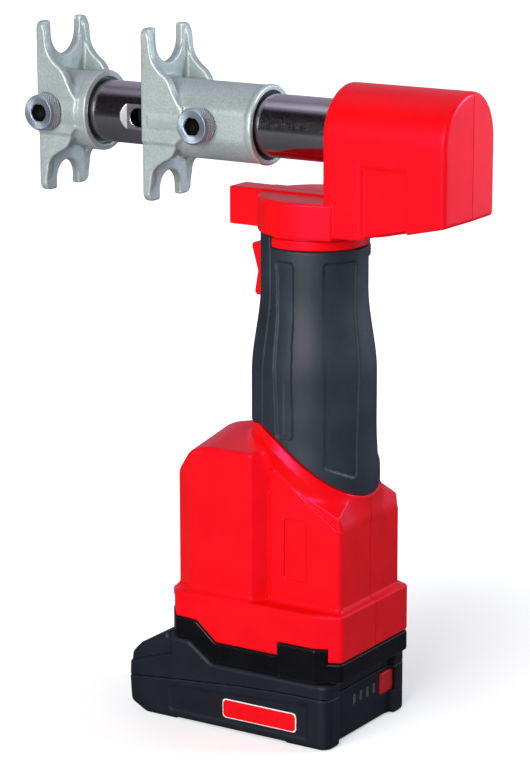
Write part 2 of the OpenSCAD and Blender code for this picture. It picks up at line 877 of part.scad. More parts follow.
module grip_sleeve() {
    color("#26292e") difference() {
        grip_body(0);
        under_joint(-seat_gap);
        translate([0, 0, box_top - joint_rear_drop - 2 * over])
            cylinder(h = 2 * grip_h, r = core_r + run_fit);
        difference() {
            for (p = grip_panel_angles)
                rotate([0, 0, p[0] - p[1]])
                    rotate_extrude(angle = 2 * p[1])
                        polygon([[core_r, 0], [2 * collar_r, 0], [2 * collar_r, grip_top - panel_end],
                                 [core_r, grip_top - panel_end]]);
            grip_body(grip_panel_depth);
            under_joint(-panel_end);
        }
        block([-2 * core_r, -rocker_w / 2 - slot_clear, rocker_z - slot_clear],
              [0, rocker_w / 2 + slot_clear, grip_top + over]);
    }
}

module neck_ring() {
    color("#d8131a") difference() {
        translate([0, 0, ring_z]) cylinder(h = ring_h, r = ring_r);
        translate([0, 0, ring_z - over]) cylinder(h = ring_h + 2 * over, r = spigot_r + spigot_foot / 2);
    }
}

// Motor

module motor_can() {
    color("#8d9196") translate([0, 0, motor_z]) difference() {
        cylinder(h = motor_l, r = drive_r);
        translate([0, 0, -over]) cylinder(h = motor_l + over - can_wall - bearing_h, r = drive_r - can_wall);
        translate([0, 0, -over]) cylinder(h = motor_l + 2 * over, r = shaft_r + move_gap);
        translate([0, 0, motor_l - can_wall - bearing_h - over])
            cylinder(h = bearing_h + over, r = bearing_r + set_fit / 2);
    }
}

module motor_cap() {
    color("#33363b") translate([0, 0, motor_z - cap_h]) difference() {
        cylinder(h = cap_h, r = drive_r);
        translate([0, 0, over]) cylinder(h = cap_h, r = bearing_r + set_fit / 2);
    }
}

module bearing(z) {
    translate([0, 0, z]) difference() {
        cylinder(h = bearing_h, r = bearing_r);
        translate([0, 0, -over]) cylinder(h = bearing_h + 2 * over, r = shaft_r + run_fit);
    }
}

module motor_bearings() {
    color("#b9bcc0") {
        bearing(motor_z - cap_h + over);
        bearing(motor_z + motor_l - can_wall - bearing_h);
    }
}

// Outline of a ring of teeth that run from one radius to another
module tooth_ring(teeth, root_r, tip_r) {
    radii = [root_r, tip_r, tip_r, root_r];
    polygon([for (i = [0 : teeth - 1]) for (k = [0 : len(radii) - 1])
        let (a = (i + tooth_shares[k]) * 360 / teeth)
        [radii[k] * cos(a), radii[k] * sin(a)]]);
}

// A spur gear whose teeth stay just clear of the gear that it drives
module gear(teeth, h, bore_r) {
    pitch_r = teeth * gear_module / 2;
    tip_r = pitch_r + gear_module / 2 - tooth_play * 2;
    root_r = pitch_r - gear_module;
    difference() {
        linear_extrude(h) tooth_ring(teeth, root_r, tip_r);
        translate([0, 0, -over]) cylinder(h = h + 2 * over, r = bore_r);
    }
}

module armature() {
    color("#b06a35") {
        translate([0, 0, motor_z + rotor_gap])
            cylinder(h = motor_l - can_wall - bearing_h - 2 * rotor_gap, r = rotor_r);
        translate([0, 0, motor_z - cap_h + over + move_gap])
            cylinder(h = gear_z - motor_z + cap_h - over, r = shaft_r);
        translate([0, 0, gear_z]) gear(sun_teeth, gear_h, shaft_r / 2);
    }
}

module ring_gear() {
    root_r = ring_pitch_r + gear_module;
    tip_r = ring_pitch_r - gear_module / 2 + tooth_play * 2;
    color("#777b80") difference() {
        translate([0, 0, gearbox_z]) cylinder(h = gearbox_l, r = drive_r);
        translate([0, 0, gearbox_z - over]) linear_extrude(gearbox_l + 2 * over)
            tooth_ring(ring_teeth, root_r, tip_r);
    }
}

module planet_carrier() {
    color("#6f7479") {
        translate([0, 0, carrier_z]) cylinder(h = carrier_h, r = carrier_r);
        for (i = [0 : planets - 1])
            rotate([0, 0, i * 360 / planets])
                translate([planet_orbit, 0, gear_z])
                    cylinder(h = carrier_z + carrier_h - gear_z, r = planet_pin_r);
        translate([eccentric_throw, 0, carrier_z]) cylinder(h = carrier_h + eccentric_h, r = eccentric_r);
    }
}

module planet_gear(i) {
    color("#84888d") rotate([0, 0, i * 360 / planets])
        translate([planet_orbit, 0, gear_z]) gear(planet_teeth, gear_h, planet_pin_r + run_fit);
}

module eccentric_bearing() {
    color("#b9bcc0") translate([eccentric_throw, 0, pump_z + move_gap]) difference() {
        cylinder(h = pump_pocket_h - 2 * move_gap, r = eccentric_r + eccentric_bearing_t);
        translate([0, 0, -over]) cylinder(h = pump_pocket_h + 2 * over, r = eccentric_r + run_fit);
    }
}

// Pump

module pump_block() {
    color("#a5a9ad") difference() {
        translate([0, 0, pump_z]) cylinder(h = pump_top - pump_z, r = drive_r);
        translate([0, 0, pump_z - over]) cylinder(h = over + pump_pocket_h, r = pump_pocket_r);
        translate([0, 0, piston_z]) rod_x(piston_tip - over, piston_tip + piston_l + piston_travel + over,
                                          piston_r + run_fit);
        translate([0, 0, bladder_z]) cylinder(h = bladder_h, r = bladder_r + set_fit);
        translate([0, 0, pump_top - spigot_foot]) cylinder(h = spigot_foot + over, r = spigot_r + set_fit);
        block([-2 * drive_r, -drive_r, rocker_z - over], [-pump_flat, drive_r, pump_top + over]);
    }
}

module pump_piston() {
    color("#d4d6d8") translate([0, 0, piston_z]) rod_x(piston_tip, piston_tip + piston_l, piston_r);
}

module oil_bladder() {
    color("#3a2f2a") translate([0, 0, bladder_z + set_fit]) difference() {
        cylinder(h = bladder_h - 2 * set_fit, r = bladder_r);
        translate([0, 0, bladder_wall])
            cylinder(h = bladder_h - 2 * set_fit - 2 * bladder_wall, r = bladder_r - bladder_wall);
    }
}

module switch_module() {
    color("#101114")
        block([-pump_flat - set_fit - switch_t, -switch_w / 2, rocker_mid - switch_h / 2],
              [-pump_flat - set_fit, switch_w / 2, rocker_mid + switch_h / 2]);
}

module rocker_pin() {
    color("silver") translate([rocker_pin_x, 0, rocker_mid])
        rod_y(-rocker_pin_l / 2, rocker_pin_l / 2, rocker_pin_r);
}

module rocker_trigger() {
    front = -grip_top_r - rocker_reach;
    color("#d8131a") difference() {
        union() {
            side_slab([
                [-rocker_back, rocker_z],
                [front + rocker_lower_in, rocker_z + rocker_tip_drop / 2],
                [front + rocker_waist_in, rocker_z + rocker_h * rocker_waist_share],
                [front, rocker_z + rocker_h - rocker_tip_drop],
                [-grip_top_r, rocker_z + rocker_h],
                [-rocker_back, rocker_z + rocker_h]
            ], rocker_w);
            translate([rocker_pin_x, 0, rocker_mid]) rod_y(-rocker_w / 2, rocker_w / 2, rocker_hub_r);
        }
        translate([rocker_pin_x, 0, rocker_mid]) rod_y(-rocker_w, rocker_w, rocker_pin_r + run_fit);
    }
}

// Swivel

module swivel_spigot() {
    color("#9da1a6") translate([0, 0, pump_top - spigot_foot]) difference() {
        cylinder(h = block_z + block_foot_h - pump_top + spigot_foot, r = spigot_r);
        translate([0, 0, -over]) cylinder(h = tube_z, r = spigot_r / 3);
        for (z = seal_heights()) translate([0, 0, z - pump_top + spigot_foot]) difference() {
            cylinder(h = seal_t, r = 2 * spigot_r);
            cylinder(h = seal_t, r = spigot_r - seal_t);
        }
    }
}

function seal_heights() = [for (s = seal_shares) block_z + block_foot_h * s];

module swivel_seals() {
    color("#141416") for (z = seal_heights()) translate([0, 0, z + run_fit]) difference() {
        cylinder(h = seal_t - 2 * run_fit, r = spigot_r);
        translate([0, 0, -over]) cylinder(h = seal_t + 2 * over, r = spigot_r - seal_t + run_fit);
    }
}

// Head

function head_side(inset) = [
    [head_front + inset, hub_z + inset],
    [head_front + inset, tube_z + head_hw + over],
    [head_rear + ridge + over, tube_z + head_hw + over],
    [head_rear + ridge + over, hub_z + head_foot_end + inset],
    [head_step_x, hub_z + head_foot_rear + inset],
    [head_foot_mid, hub_z + head_foot_front + inset]
];

// Arch in front view: upright sides and a half round on the tube's axis
module arch(inset, x0, x1) {
    hw = head_hw - inset;
    translate([0, 0, tube_z]) rod_x(x0, x1, hw);
    block([x0, -hw, hub_z], [x1, hw, tube_z]);
}

// Plan of the head, wider than its sides, with the ridge at the rear
function rear_plan(inset) = [
    [-hub_r, -head_w], [head_rear - ridge - inset, -head_w], [head_rear + ridge - inset, 0],
    [head_rear - ridge - inset, head_w], [-hub_r, head_w]
];

module head_form(inset) {
    intersection() {
        arch(inset, head_front + inset, head_rear + ridge);
        side_slab(head_side(inset), head_w + 2 * over);
        plan_slab(rear_plan(inset), hub_z, tube_z + head_hw);
    }
    translate([0, 0, hub_z + inset]) cylinder(h = hub_h - 2 * inset, r = hub_r - inset);
    block([-nose_l + inset, -nose_w / 2 + inset, hub_z + inset],
          [0, nose_w / 2 - inset, hub_top - inset]);
}

module head_solid() {
    difference() {
        head_form(0);
        difference() {
            head_form(shell_wall);
            for (p = head_posts) translate([p[0], 0, p[1]]) rod_y(-head_w, head_w, post_r);
        }
        translate([0, 0, tube_z]) rod_x(0, barrel_front, tube_r + set_fit);
        translate([0, 0, hub_z - over]) cylinder(h = shell_wall + 2 * over, r = spigot_r + move_gap);
        for (side = [-1, 1])
            block([panel_front, side < 0 ? -head_w : head_hw - side_panel_depth, 0],
                  [panel_rear, side < 0 ? -head_hw + side_panel_depth : head_w, tube_z - panel_top_drop]);
        for (p = head_posts) translate([p[0], 0, p[1]]) {
            rod_y(-nose_w / 4, head_w, small_screw_r + set_fit);
            rod_y(nose_w / 4, head_w, small_head_r + set_fit);
        }
    }
}

module head_left() {
    color("#e3141b") half(-1) head_solid();
}

module head_right() {
    color("#e3141b") half(1) head_solid();
}

module head_screws() {
    color("silver") for (p = head_posts) translate([p[0], 0, p[1]]) {
        rod_y(-nose_w / 4 + set_fit, nose_w / 4, small_screw_r);
        rod_y(nose_w / 4, nose_w / 4 + small_head_h, small_head_r);
    }
}

module cylinder_block() {
    color("#8b8f94") difference() {
        union() {
            translate([0, 0, tube_z]) rod_x(barrel_front, barrel_rear, barrel_r);
            block([block_web_front, -block_w / 2, block_web_z], [block_web_rear, block_w / 2, tube_z]);
            block([0, -block_w / 2, block_arm_z],
                  [block_web_front + over, block_w / 2, block_z + block_foot_h]);
            translate([0, 0, block_z]) cylinder(h = block_foot_h, r = block_foot_r);
        }
        translate([0, 0, tube_z]) {
            rod_x(barrel_front - over, tube_rear, tube_r + run_fit);
            rod_x(tube_rear - over, barrel_rear + over, cylinder_r);
        }
        translate([0, 0, block_z - over]) cylinder(h = block_foot_h + 2 * over, r = spigot_r + run_fit);
    }
}

module cylinder_cap() {
    color("#767a7f") translate([0, 0, tube_z]) rod_x(barrel_rear - cap_l, barrel_rear, cylinder_r - run_fit);
}

module guide_tube() {
    color("#9a9690") translate([0, 0, tube_z]) difference() {
        rod_x(-front_jaw_x, tube_rear, tube_r);
        rod_x(-front_jaw_x - over, tube_rear + over, tube_bore / 2);
        // Flat and slot for the press jaw's screw, on the left
        block([press_screw_x - stroke - slot_front_room - slot_r - tube_flat_lead, -tube_d, -tube_flat_half],
              [press_screw_x + slot_r + tube_flat_lead, -tube_r + tube_flat_in, tube_flat_half]);
        block([press_screw_x - stroke - slot_front_room, -tube_d, -slot_r], [press_screw_x, 0, slot_r]);
        for (x = [press_screw_x - stroke - slot_front_room, press_screw_x])
            translate([x, 0, 0]) rod_y(-tube_d, 0, slot_r);
        translate([front_screw_x, 0, 0]) rod_y(-tube_d, 0, screw_d / 2 + run_fit);
    }
}

module tube_plug() {
    color("#6c7075") translate([0, 0, tube_z]) difference() {
        rod_x(-front_jaw_x, -front_jaw_x + plug_l, plug_r);
        translate([front_screw_x, 0, 0]) rod_y(-tube_d, screw_depth + run_fit, screw_d / 2 + run_fit);
    }
}

module return_spring() {
    color("#b4b7ba") translate([0, 0, tube_z]) difference() {
        rod_x(spring_front, rod_front, plug_r - spring_clear);
        rod_x(spring_front - over, rod_front + over, plug_r - spring_clear - spring_wall);
    }
}

// Jaws

// Side outline of a web, from the fork plate's face back to the boss
function web_side() = concat(
    [[0, -fork_down], [0, fork_up], [fork_t, fork_up]],
    [for (s = web_up_shares) [web_l * s[0], fork_up * s[1]]],
    [for (s = web_down_shares) [web_l * s[0], -fork_down * s[1]]],
    [[fork_t, -fork_down]]);

// Front view of the fork plate, with the corners of its tips cut
function fork_front() = both_sides([
    [fork_up, -jaw_w / 2 + fork_corner],
    [fork_up - fork_corner, -jaw_w / 2],
    [-fork_down + fork_corner, -jaw_w / 2],
    [-fork_down, -jaw_w / 2 + fork_corner]
]);

module fork_slot(width, reach, direction) {
    floor_z = direction * (slot_floor + width / 2);
    translate([0, 0, floor_z]) rod_x(-over, web_l, width / 2);
    block([-over, -width / 2, min(floor_z, direction * 2 * reach)],
          [web_l, width / 2, max(floor_z, direction * 2 * reach)]);
}

module jaw(length, upper_w, screw_in) {
    difference() {
        union() {
            intersection() {
                front_slab([for (p = fork_front()) [p[1], p[0]]], 0, web_l);
                union() {
                    block([0, -jaw_w, -2 * fork_down], [fork_t, jaw_w, 2 * fork_up]);
                    for (side = [-1, 1])
                        translate([0, side * (jaw_w - web_t) / 2, 0]) side_slab(web_side(), web_t);
                }
            }
            rod_x(0, length, boss_r);
        }
        rod_x(-over, length + over, jaw_bore_r);
        fork_slot(upper_w, fork_up, 1);
        fork_slot(lower_slot_w, fork_down, -1);
        translate([screw_in, 0, 0]) rod_y(-jaw_w, 0, screw_d / 2 + run_fit);
    }
}

module front_jaw() {
    color("#c3c8c4") translate([-front_jaw_x, 0, tube_z]) difference() {
        jaw(front_jaw_l, front_slot_w, front_screw_in);
        // Spot face under the screw's head, on the left
        translate([front_screw_in, 0, 0]) rod_y(-jaw_w - boss_d, front_seat, knob_d / 2 + spot_gap);
    }
}

module press_jaw() {
    color("#c3c8c4") translate([-press_jaw_x, 0, tube_z]) difference() {
        jaw(press_jaw_l, press_slot_w, press_screw_in);
        // Flat for the screw's head, on the left of the boss
        block([press_screw_in - knob_d / 2 - flat_lead, -boss_d, -knob_d / 2 - flat_lead],
              [press_jaw_l - flat_rear, -boss_r + flat_in, knob_d / 2 + flat_lead]);
        // Seat of the wiper ring
        rod_x(press_jaw_l - wiper_l, press_jaw_l + over, tube_r + wiper_t);
    }
}

module wiper_ring() {
    color("#111213") translate([-press_jaw_x, 0, tube_z]) difference() {
        rod_x(press_jaw_l - wiper_l, press_jaw_l - wiper_depth, tube_r + wiper_t);
        rod_x(0, press_jaw_l + over, jaw_bore_r);
    }
}

// A knurled lock screw: its head's seat is at seat_y and its shank ends at tip_y
module lock_screw(x, seat_y, tip_y) {
    translate([x, 0, tube_z]) difference() {
        union() {
            rod_y(seat_y - knob_h, seat_y - knob_gap, knob_d / 2);
            rod_y(seat_y - knob_h, tip_y, screw_d / 2);
        }
        rotate([90, 0, 0]) translate([0, 0, knob_h - seat_y - socket_depth])
            cylinder(h = socket_depth + over, d = socket_w / cos(30), $fn = 6);
    }
}

module front_lock_screw() {
    color("#8f97a0") lock_screw(front_screw_x, front_seat, screw_depth);
}

module press_lock_screw() {
    color("#8f97a0") lock_screw(press_screw_x, -boss_r + flat_in, screw_depth);
}

module ram() {
    color("#a8acb0") translate([0, 0, tube_z]) difference() {
        union() {
            rod_x(rod_front, piston_rear, rod_r);
            rod_x(piston_front, piston_rear, piston_head_r);
        }
        translate([press_screw_x, 0, 0]) rod_y(-tube_d, screw_depth + run_fit, screw_d / 2 + run_fit);
        translate([(piston_front + piston_rear - piston_seal_w) / 2, 0, 0]) difference() {
            rod_x(0, piston_seal_w, 2 * cylinder_r);
            rod_x(0, piston_seal_w, piston_head_r - piston_seal_depth);
        }
    }
}

module piston_seal() {
    x = (piston_front + piston_rear - piston_seal_w) / 2;
    color("#141416") translate([0, 0, tube_z]) difference() {
        rod_x(x + run_fit, x + piston_seal_w - run_fit, piston_head_r);
        rod_x(x - over, x + piston_seal_w + over, piston_head_r - piston_seal_depth + run_fit);
    }
}

pack_tub();
pack_cover();
pack_cells();
gauge_board();
gauge_bars_lens();
gauge_button();
latch_button();
pack_screws();
base_shoe();
terminal_blades();
control_board();
housing_left();
housing_right();
housing_screws();
grip_sleeve();
neck_ring();
motor_can();
motor_cap();
motor_bearings();
armature();
ring_gear();
planet_carrier();
planet_gear(0);  // planet_gear_1
planet_gear(1);  // planet_gear_2
planet_gear(2);  // planet_gear_3
eccentric_bearing();
pump_block();
pump_piston();
oil_bladder();
switch_module();
rocker_pin();
rocker_trigger();
swivel_spigot();
swivel_seals();
head_left();
head_right();
head_screws();
cylinder_block();
cylinder_cap();
guide_tube();
tube_plug();
front_jaw();
return_spring();
front_lock_screw();
ram();
piston_seal();
press_jaw();
wiper_ring();
press_lock_screw();
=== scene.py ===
import json
import math

import bpy
import numpy as np
from mathutils import Matrix, Vector


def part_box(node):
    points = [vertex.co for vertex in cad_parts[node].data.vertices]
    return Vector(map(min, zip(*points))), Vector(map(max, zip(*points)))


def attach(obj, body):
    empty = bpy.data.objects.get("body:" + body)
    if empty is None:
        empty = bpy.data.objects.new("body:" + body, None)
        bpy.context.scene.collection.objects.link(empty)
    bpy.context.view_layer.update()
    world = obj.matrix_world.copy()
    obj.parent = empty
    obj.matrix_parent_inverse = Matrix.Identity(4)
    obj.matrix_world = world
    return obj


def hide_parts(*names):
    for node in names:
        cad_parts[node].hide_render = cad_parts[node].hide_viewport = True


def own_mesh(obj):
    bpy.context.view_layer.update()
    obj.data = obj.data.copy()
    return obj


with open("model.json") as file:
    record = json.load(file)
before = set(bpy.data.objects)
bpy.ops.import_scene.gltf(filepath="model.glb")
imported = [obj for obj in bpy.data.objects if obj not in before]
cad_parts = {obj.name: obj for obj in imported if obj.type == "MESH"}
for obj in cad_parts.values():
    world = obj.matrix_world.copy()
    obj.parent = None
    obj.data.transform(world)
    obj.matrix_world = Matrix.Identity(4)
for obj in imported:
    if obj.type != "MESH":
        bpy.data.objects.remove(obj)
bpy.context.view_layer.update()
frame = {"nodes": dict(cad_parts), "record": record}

# A cordless axial press tool. Shapes are fields in millimetres: a field is negative inside a piece, and
# its zero surface becomes the mesh. X runs to the rear, the left side faces -Y, Z is up.

MM = 0.001

# Levels and main sizes, in millimetres
PACK_TOP = 33.0
SHOE_Z = 33.4
FLANGE_Z = 43.4
FLANGE_TOP = 67.4
BOX_TOP = 141.0
GRIP_TOP = 240.0
RING_Z = 240.2
HUB_Z = 246.1
HUB_TOP = 263.5
TUBE_Z = 294.2
PACK_FRONT, PACK_REAR, PACK_HALF = -87.0, 27.4, 38.0
SHOE_FRONT, FLANGE_REAR, FLANGE_HALF = -62.5, 34.4, 37.3
BOX_FRONT, BOX_REAR, BULGE_HALF, PANEL_HALF = -61.0, 31.0, 34.5, 28.4
CORE_R, CORE_BORE = 22.4, 18.2
TUBE_R, TUBE_BORE, JAW_HALF = 15.2, 11.0, 19.0
HEAD_FRONT, HEAD_REAR, HEAD_HALF = 16.8, 84.0, 23.7
SHELL_WALL, SHELL_POST_R = 2.8, 3.8
SEAM, SEAM_EDGE = 0.1, 0.3
SCREW_HEAD_R = 3.0
ROOM = 3.0


# Fields

def join(a, b, fillet=0.0):
    """Union, with a fillet where the two meet."""
    if not fillet:
        return np.minimum(a, b)
    near = np.hypot(np.maximum(fillet - a, 0), np.maximum(fillet - b, 0))
    return np.maximum(fillet, np.minimum(a, b)) - near


def both(a, b, edge=0.0):
    """Intersection, with a rounded edge where the two meet."""
    if not edge:
        return np.maximum(a, b)
    near = np.hypot(np.maximum(edge + a, 0), np.maximum(edge + b, 0))
    return np.minimum(-edge, np.maximum(a, b)) + near


def cut(a, b, edge=0.0):
    """The first without the second."""
    return both(a, -b, edge)


def slab(v, low, high):
    return np.maximum(low - v, v - high)


def plane(u, v, point, toward):
    """Half of a plane: the line passes the point, and its outside is the way toward points."""
    length = math.hypot(*toward)
    return ((u - point[0]) * toward[0] + (v - point[1]) * toward[1]) / length


def ramp(v, low, high):
    """0 below low, 1 above high, smooth between."""
    t = np.clip((v - low) / (high - low), 0, 1)
    return t * t * (3 - 2 * t)


def soft_min(a, b, blend):
    return 0.5 * (a + b - np.sqrt((a - b) ** 2 + blend ** 2))


def outline(corners, steps=6):
    """A closed outline from corners (u, v, radius), with an arc at each rounded corner."""
    points = []
    for i, (u, v, radius) in enumerate(corners):
        here = np.array((u, v), float)
        back = np.array(corners[i - 1][:2], float) - here
        ahead = np.array(corners[(i + 1) % len(corners)][:2], float) - here
        back /= np.linalg.norm(back)
        ahead /= np.linalg.norm(ahead)
        angle = math.acos(max(-1.0, min(1.0, float(back @ ahead))))
        if not radius or angle > math.pi - 0.01:
            points.append(here)
            continue
        start = here + back * radius / math.tan(angle / 2)
        end = here + ahead * radius / math.tan(angle / 2)
        middle = (back + ahead) / np.linalg.norm(back + ahead)
        centre = here + middle * radius / math.sin(angle / 2)
        a0 = math.atan2(*(start - centre)[::-1])
        turn = math.atan2(*(end - centre)[::-1]) - a0
        turn = (turn + math.pi) % (2 * math.pi) - math.pi
        for k in range(steps + 1):
            a = a0 + turn * k / steps
            points.append(centre + radius * np.array((math.cos(a), math.sin(a))))
    return np.array(points)


def curve(points, steps=4):
    """A smooth line through points."""
    at = np.array(points, float)
    at = np.vstack([2 * at[0] - at[1], at, 2 * at[-1] - at[-2]])
    line = []
    for a, b, c, d in zip(at, at[1:], at[2:], at[3:]):
        for t in np.arange(steps) / steps:
            bend = (2 * a - 5 * b + 4 * c - d) * t ** 2 + (3 * b - a - 3 * c + d) * t ** 3
            line.append(b + 0.5 * ((c - a) * t + bend))
    return np.vstack([line, at[-2]])


def mirrored(corners):
    """Corners of one side, then the same ones on the other side of v = 0."""
    return corners + [(u, -v, r) for u, v, r in reversed(corners)]


def area(u, v, points):
    """Signed distance to a closed outline in a plane."""
    nearest = np.inf
    inside = np.zeros(np.broadcast(u, v).shape, bool)
    for a, b in zip(points, np.roll(points, -1, axis=0)):
        eu, ev = b - a
        du, dv = u - a[0], v - a[1]
        t = np.clip((du * eu + dv * ev) / max(eu * eu + ev * ev, 1e-12), 0, 1)
        nearest = np.minimum(nearest, (du - t * eu) ** 2 + (dv - t * ev) ** 2)
        if ev:
            inside ^= ((a[1] <= v) != (b[1] <= v)) & (u < a[0] + dv * (eu / ev))
    return np.where(inside, -1.0, 1.0) * np.sqrt(nearest)


# From a field to a mesh

FINE_GROWTH = 0.6
LEAST_SLOPE = 0.05
STEP_SHARE = 0.4


def axis(low, high, step, fine=()):
    """Grid marks from low to high, closer together in the fine zones (centre, reach, step)."""
    marks = [low]
    while marks[-1] < high:
        here = marks[-1]
        gap = step
        for centre, reach, small in fine:
            ahead = centre - reach - here
            if ahead > 0:
                gap = min(gap, max(small, FINE_GROWTH * ahead))
            elif here < centre + reach:
                gap = min(gap, small)
        marks.append(here + gap)
    return np.array(marks)


def surface_net(value):
    """One point in each cell that the zero surface crosses, and a face round each crossed grid edge."""
    inside = value < 0
    nx, ny, nz = (n - 1 for n in value.shape)
    filled = np.zeros((nx, ny, nz), np.int8)
    for i in (0, 1):
        for j in (0, 1):
            for k in (0, 1):
                filled += inside[i:i + nx, j:j + ny, k:k + nz]
    cells = np.argwhere((filled > 0) & (filled < 8))
    number = np.full((nx, ny, nz), -1, np.int32)
    number[tuple(cells.T)] = np.arange(len(cells))
    total = np.zeros((len(cells), 3))
    hits = np.zeros(len(cells))
    unit = np.eye(3, dtype=int)
    faces = []
    for k in range(3):
        u, v = unit[(k + 1) % 3], unit[(k + 2) % 3]
        for p in (0, 1):
            for q in (0, 1):
                low = cells + p * u + q * v
                a, b = value[tuple(low.T)], value[tuple((low + unit[k]).T)]
                crossed = (a < 0) != (b < 0)
                share = np.where(crossed, a / np.where(crossed, a - b, 1), 0)
                total += crossed[:, None] * (low + share[:, None] * unit[k])
                hits += crossed
        first = np.moveaxis(inside, k, 0)[:-1]
        second = np.moveaxis(inside, k, 0)[1:]
        moved = np.argwhere(first != second)
        leaving = first[tuple(moved.T)]
        edges = np.empty_like(moved)
        edges[:, [k] + [i for i in range(3) if i != k]] = moved
        quad = np.stack([number[tuple((edges - s).T)] for s in (0 * u, u, u + v, v)], axis=1)
        quad[~leaving] = quad[~leaving][:, ::-1]
        faces.append(quad)
    return total / hits[:, None], np.concatenate(faces)


def slope(field, at, reach=0.03):
    """The field's gradient at points, by differences."""
    parts = []
    for k in range(3):
        ahead, back = at.copy(), at.copy()
        ahead[:, k] += reach
        back[:, k] -= reach
        parts.append((field(*ahead.T) - field(*back.T)) / (2 * reach))
    return np.stack(parts, axis=1)


def new_object(name, points, faces, normals=None):
    mesh = bpy.data.meshes.new(name)
    faces = faces.tolist() if isinstance(faces, np.ndarray) else faces
    mesh.from_pydata((np.asarray(points) * MM).tolist(), [], faces)
    mesh.polygons.foreach_set("use_smooth", np.ones(len(mesh.polygons), bool))
    mesh.update()
    if normals is not None:
        mesh.normals_split_custom_set_from_vertices(normals.tolist())
    obj = bpy.data.objects.new(name, mesh)
    bpy.context.scene.collection.objects.link(obj)
    return obj


def ring_faces(rings, count):
    """Faces between rings that follow one another, with count points each, then a face over each end."""
    faces = []
    for i in range(0, (rings - 1) * count, count):
        for k in range(count):
            ahead = (k + 1) % count
            faces.append((i + k, i + ahead, i + count + ahead, i + count + k))
    faces.append(tuple(reversed(range(count))))
    faces.append(tuple(range((rings - 1) * count, rings * count)))
    return faces


def shape(name, field, low, high, step, fine=((), (), ())):
    """A mesh of the field's zero surface between two corners, with the field's own normals."""
    marks = [axis(low[k], high[k], step, fine[k]) for k in range(3)]
    value = field(marks[0][:, None, None], marks[1][None, :, None], marks[2][None, None, :])
    cells, faces = surface_net(np.ascontiguousarray(value))
    at = [np.interp(cells[:, k], np.arange(len(marks[k])), marks[k]) for k in range(3)]
    at = np.stack(at, axis=1)
    grad = slope(field, at)
    size = np.maximum(np.sum(grad ** 2, axis=1), LEAST_SLOPE)
    move = np.clip(field(*at.T) / size, -STEP_SHARE * step, STEP_SHARE * step)
    at = at - grad * move[:, None]
    grad = slope(field, at)
    normals = grad / np.maximum(np.linalg.norm(grad, axis=1), 1e-6)[:, None]
    return new_object(name, at, faces, normals)


# Materials

SPECKLE_SCALE = 1300
GRAIN_DEPTH = 0.0002
ROSE = (1.0, 0.20, 0.80)


def new_material(name):
    material = bpy.data.materials.new(name)
    material.use_nodes = True
    tree = material.node_tree
    shader = tree.nodes["Principled BSDF"]
    place = tree.nodes.new("ShaderNodeTexCoord")
    return material, tree, shader, place


def noise(tree, place, scale, detail=3.0, stretch=None):
    """Noise in object space; scale is in waves per metre."""
    node = tree.nodes.new("ShaderNodeTexNoise")
    node.inputs["Scale"].default_value = scale
    node.inputs["Detail"].default_value = detail
    source = place.outputs["Object"]
    if stretch:
        mapping = tree.nodes.new("ShaderNodeMapping")
        mapping.inputs["Scale"].default_value = stretch
        tree.links.new(source, mapping.inputs["Vector"])
        source = mapping.outputs["Vector"]
    tree.links.new(source, node.inputs["Vector"])
    return node.outputs["Fac"]


def ranged(tree, value, low, high, out_low=0.0, out_high=1.0):
    node = tree.nodes.new("ShaderNodeMapRange")
    names = ("From Min", "From Max", "To Min", "To Max")
    for name, number in zip(names, (low, high, out_low, out_high)):
        node.inputs[name].default_value = number
    tree.links.new(value, node.inputs["Value"])
    return node.outputs["Result"]


def mixed(tree, share, first, second):
    """A colour between two, by a share from another node."""
    node = tree.nodes.new("ShaderNodeMix")
    node.data_type = "RGBA"
    tree.links.new(share, node.inputs["Factor"])
    for socket, colour in ((node.inputs[6], first), (node.inputs[7], second)):
        if isinstance(colour, tuple):
            socket.default_value = (*colour, 1.0)
        else:
            tree.links.new(colour, socket)
    return node.outputs[2]


def bumped(tree, shader, height, strength, distance):
    node = tree.nodes.new("ShaderNodeBump")
    node.inputs["Strength"].default_value = strength
    node.inputs["Distance"].default_value = distance
    tree.links.new(height, node.inputs["Height"])
    tree.links.new(node.outputs["Normal"], shader.inputs["Normal"])


def edges(tree, low, high):
    """1 on convex edges of a dense mesh, 0 on flats."""
    node = tree.nodes.new("ShaderNodeNewGeometry")
    return ranged(tree, node.outputs["Pointiness"], low, high)


def plastic(name, dark, light, rough, grain, bump,
            wear_and_highlight=0.0, shine=0.35, sheen=(1.0, 1.0, 1.0)):
    """Moulded plastic: a mottled colour, spark-eroded grain, and a lighter colour on convex edges,
    partly polish from wear and partly a painted highlight.
    """
    material, tree, shader, place = new_material(name)
    shader.inputs["Specular IOR Level"].default_value = shine
    shader.inputs["Specular Tint"].default_value = (*sheen, 1.0)
    mottle = ranged(tree, noise(tree, place, 60, 4), 0.3, 0.7)
    colour = mixed(tree, mottle, dark, light)
    # Convex edges are lightened in colour: partly wear, partly a painted highlight.
    if wear_and_highlight:
        rub_and_highlight = ranged(tree, edges(tree, 0.53, 0.62), 0, 1, 0, wear_and_highlight)
        worn_and_lit_colour = tuple(min(1, 1.3 * c + 0.05) for c in light)
        colour = mixed(tree, rub_and_highlight, colour, worn_and_lit_colour)
    tree.links.new(colour, shader.inputs["Base Color"])
    fine = noise(tree, place, grain, 2)
    rough_out = ranged(tree, fine, 0.25, 0.75, rough - 0.06, rough + 0.06)
    tree.links.new(rough_out, shader.inputs["Roughness"])
    bumped(tree, shader, fine, bump, GRAIN_DEPTH)
    return material


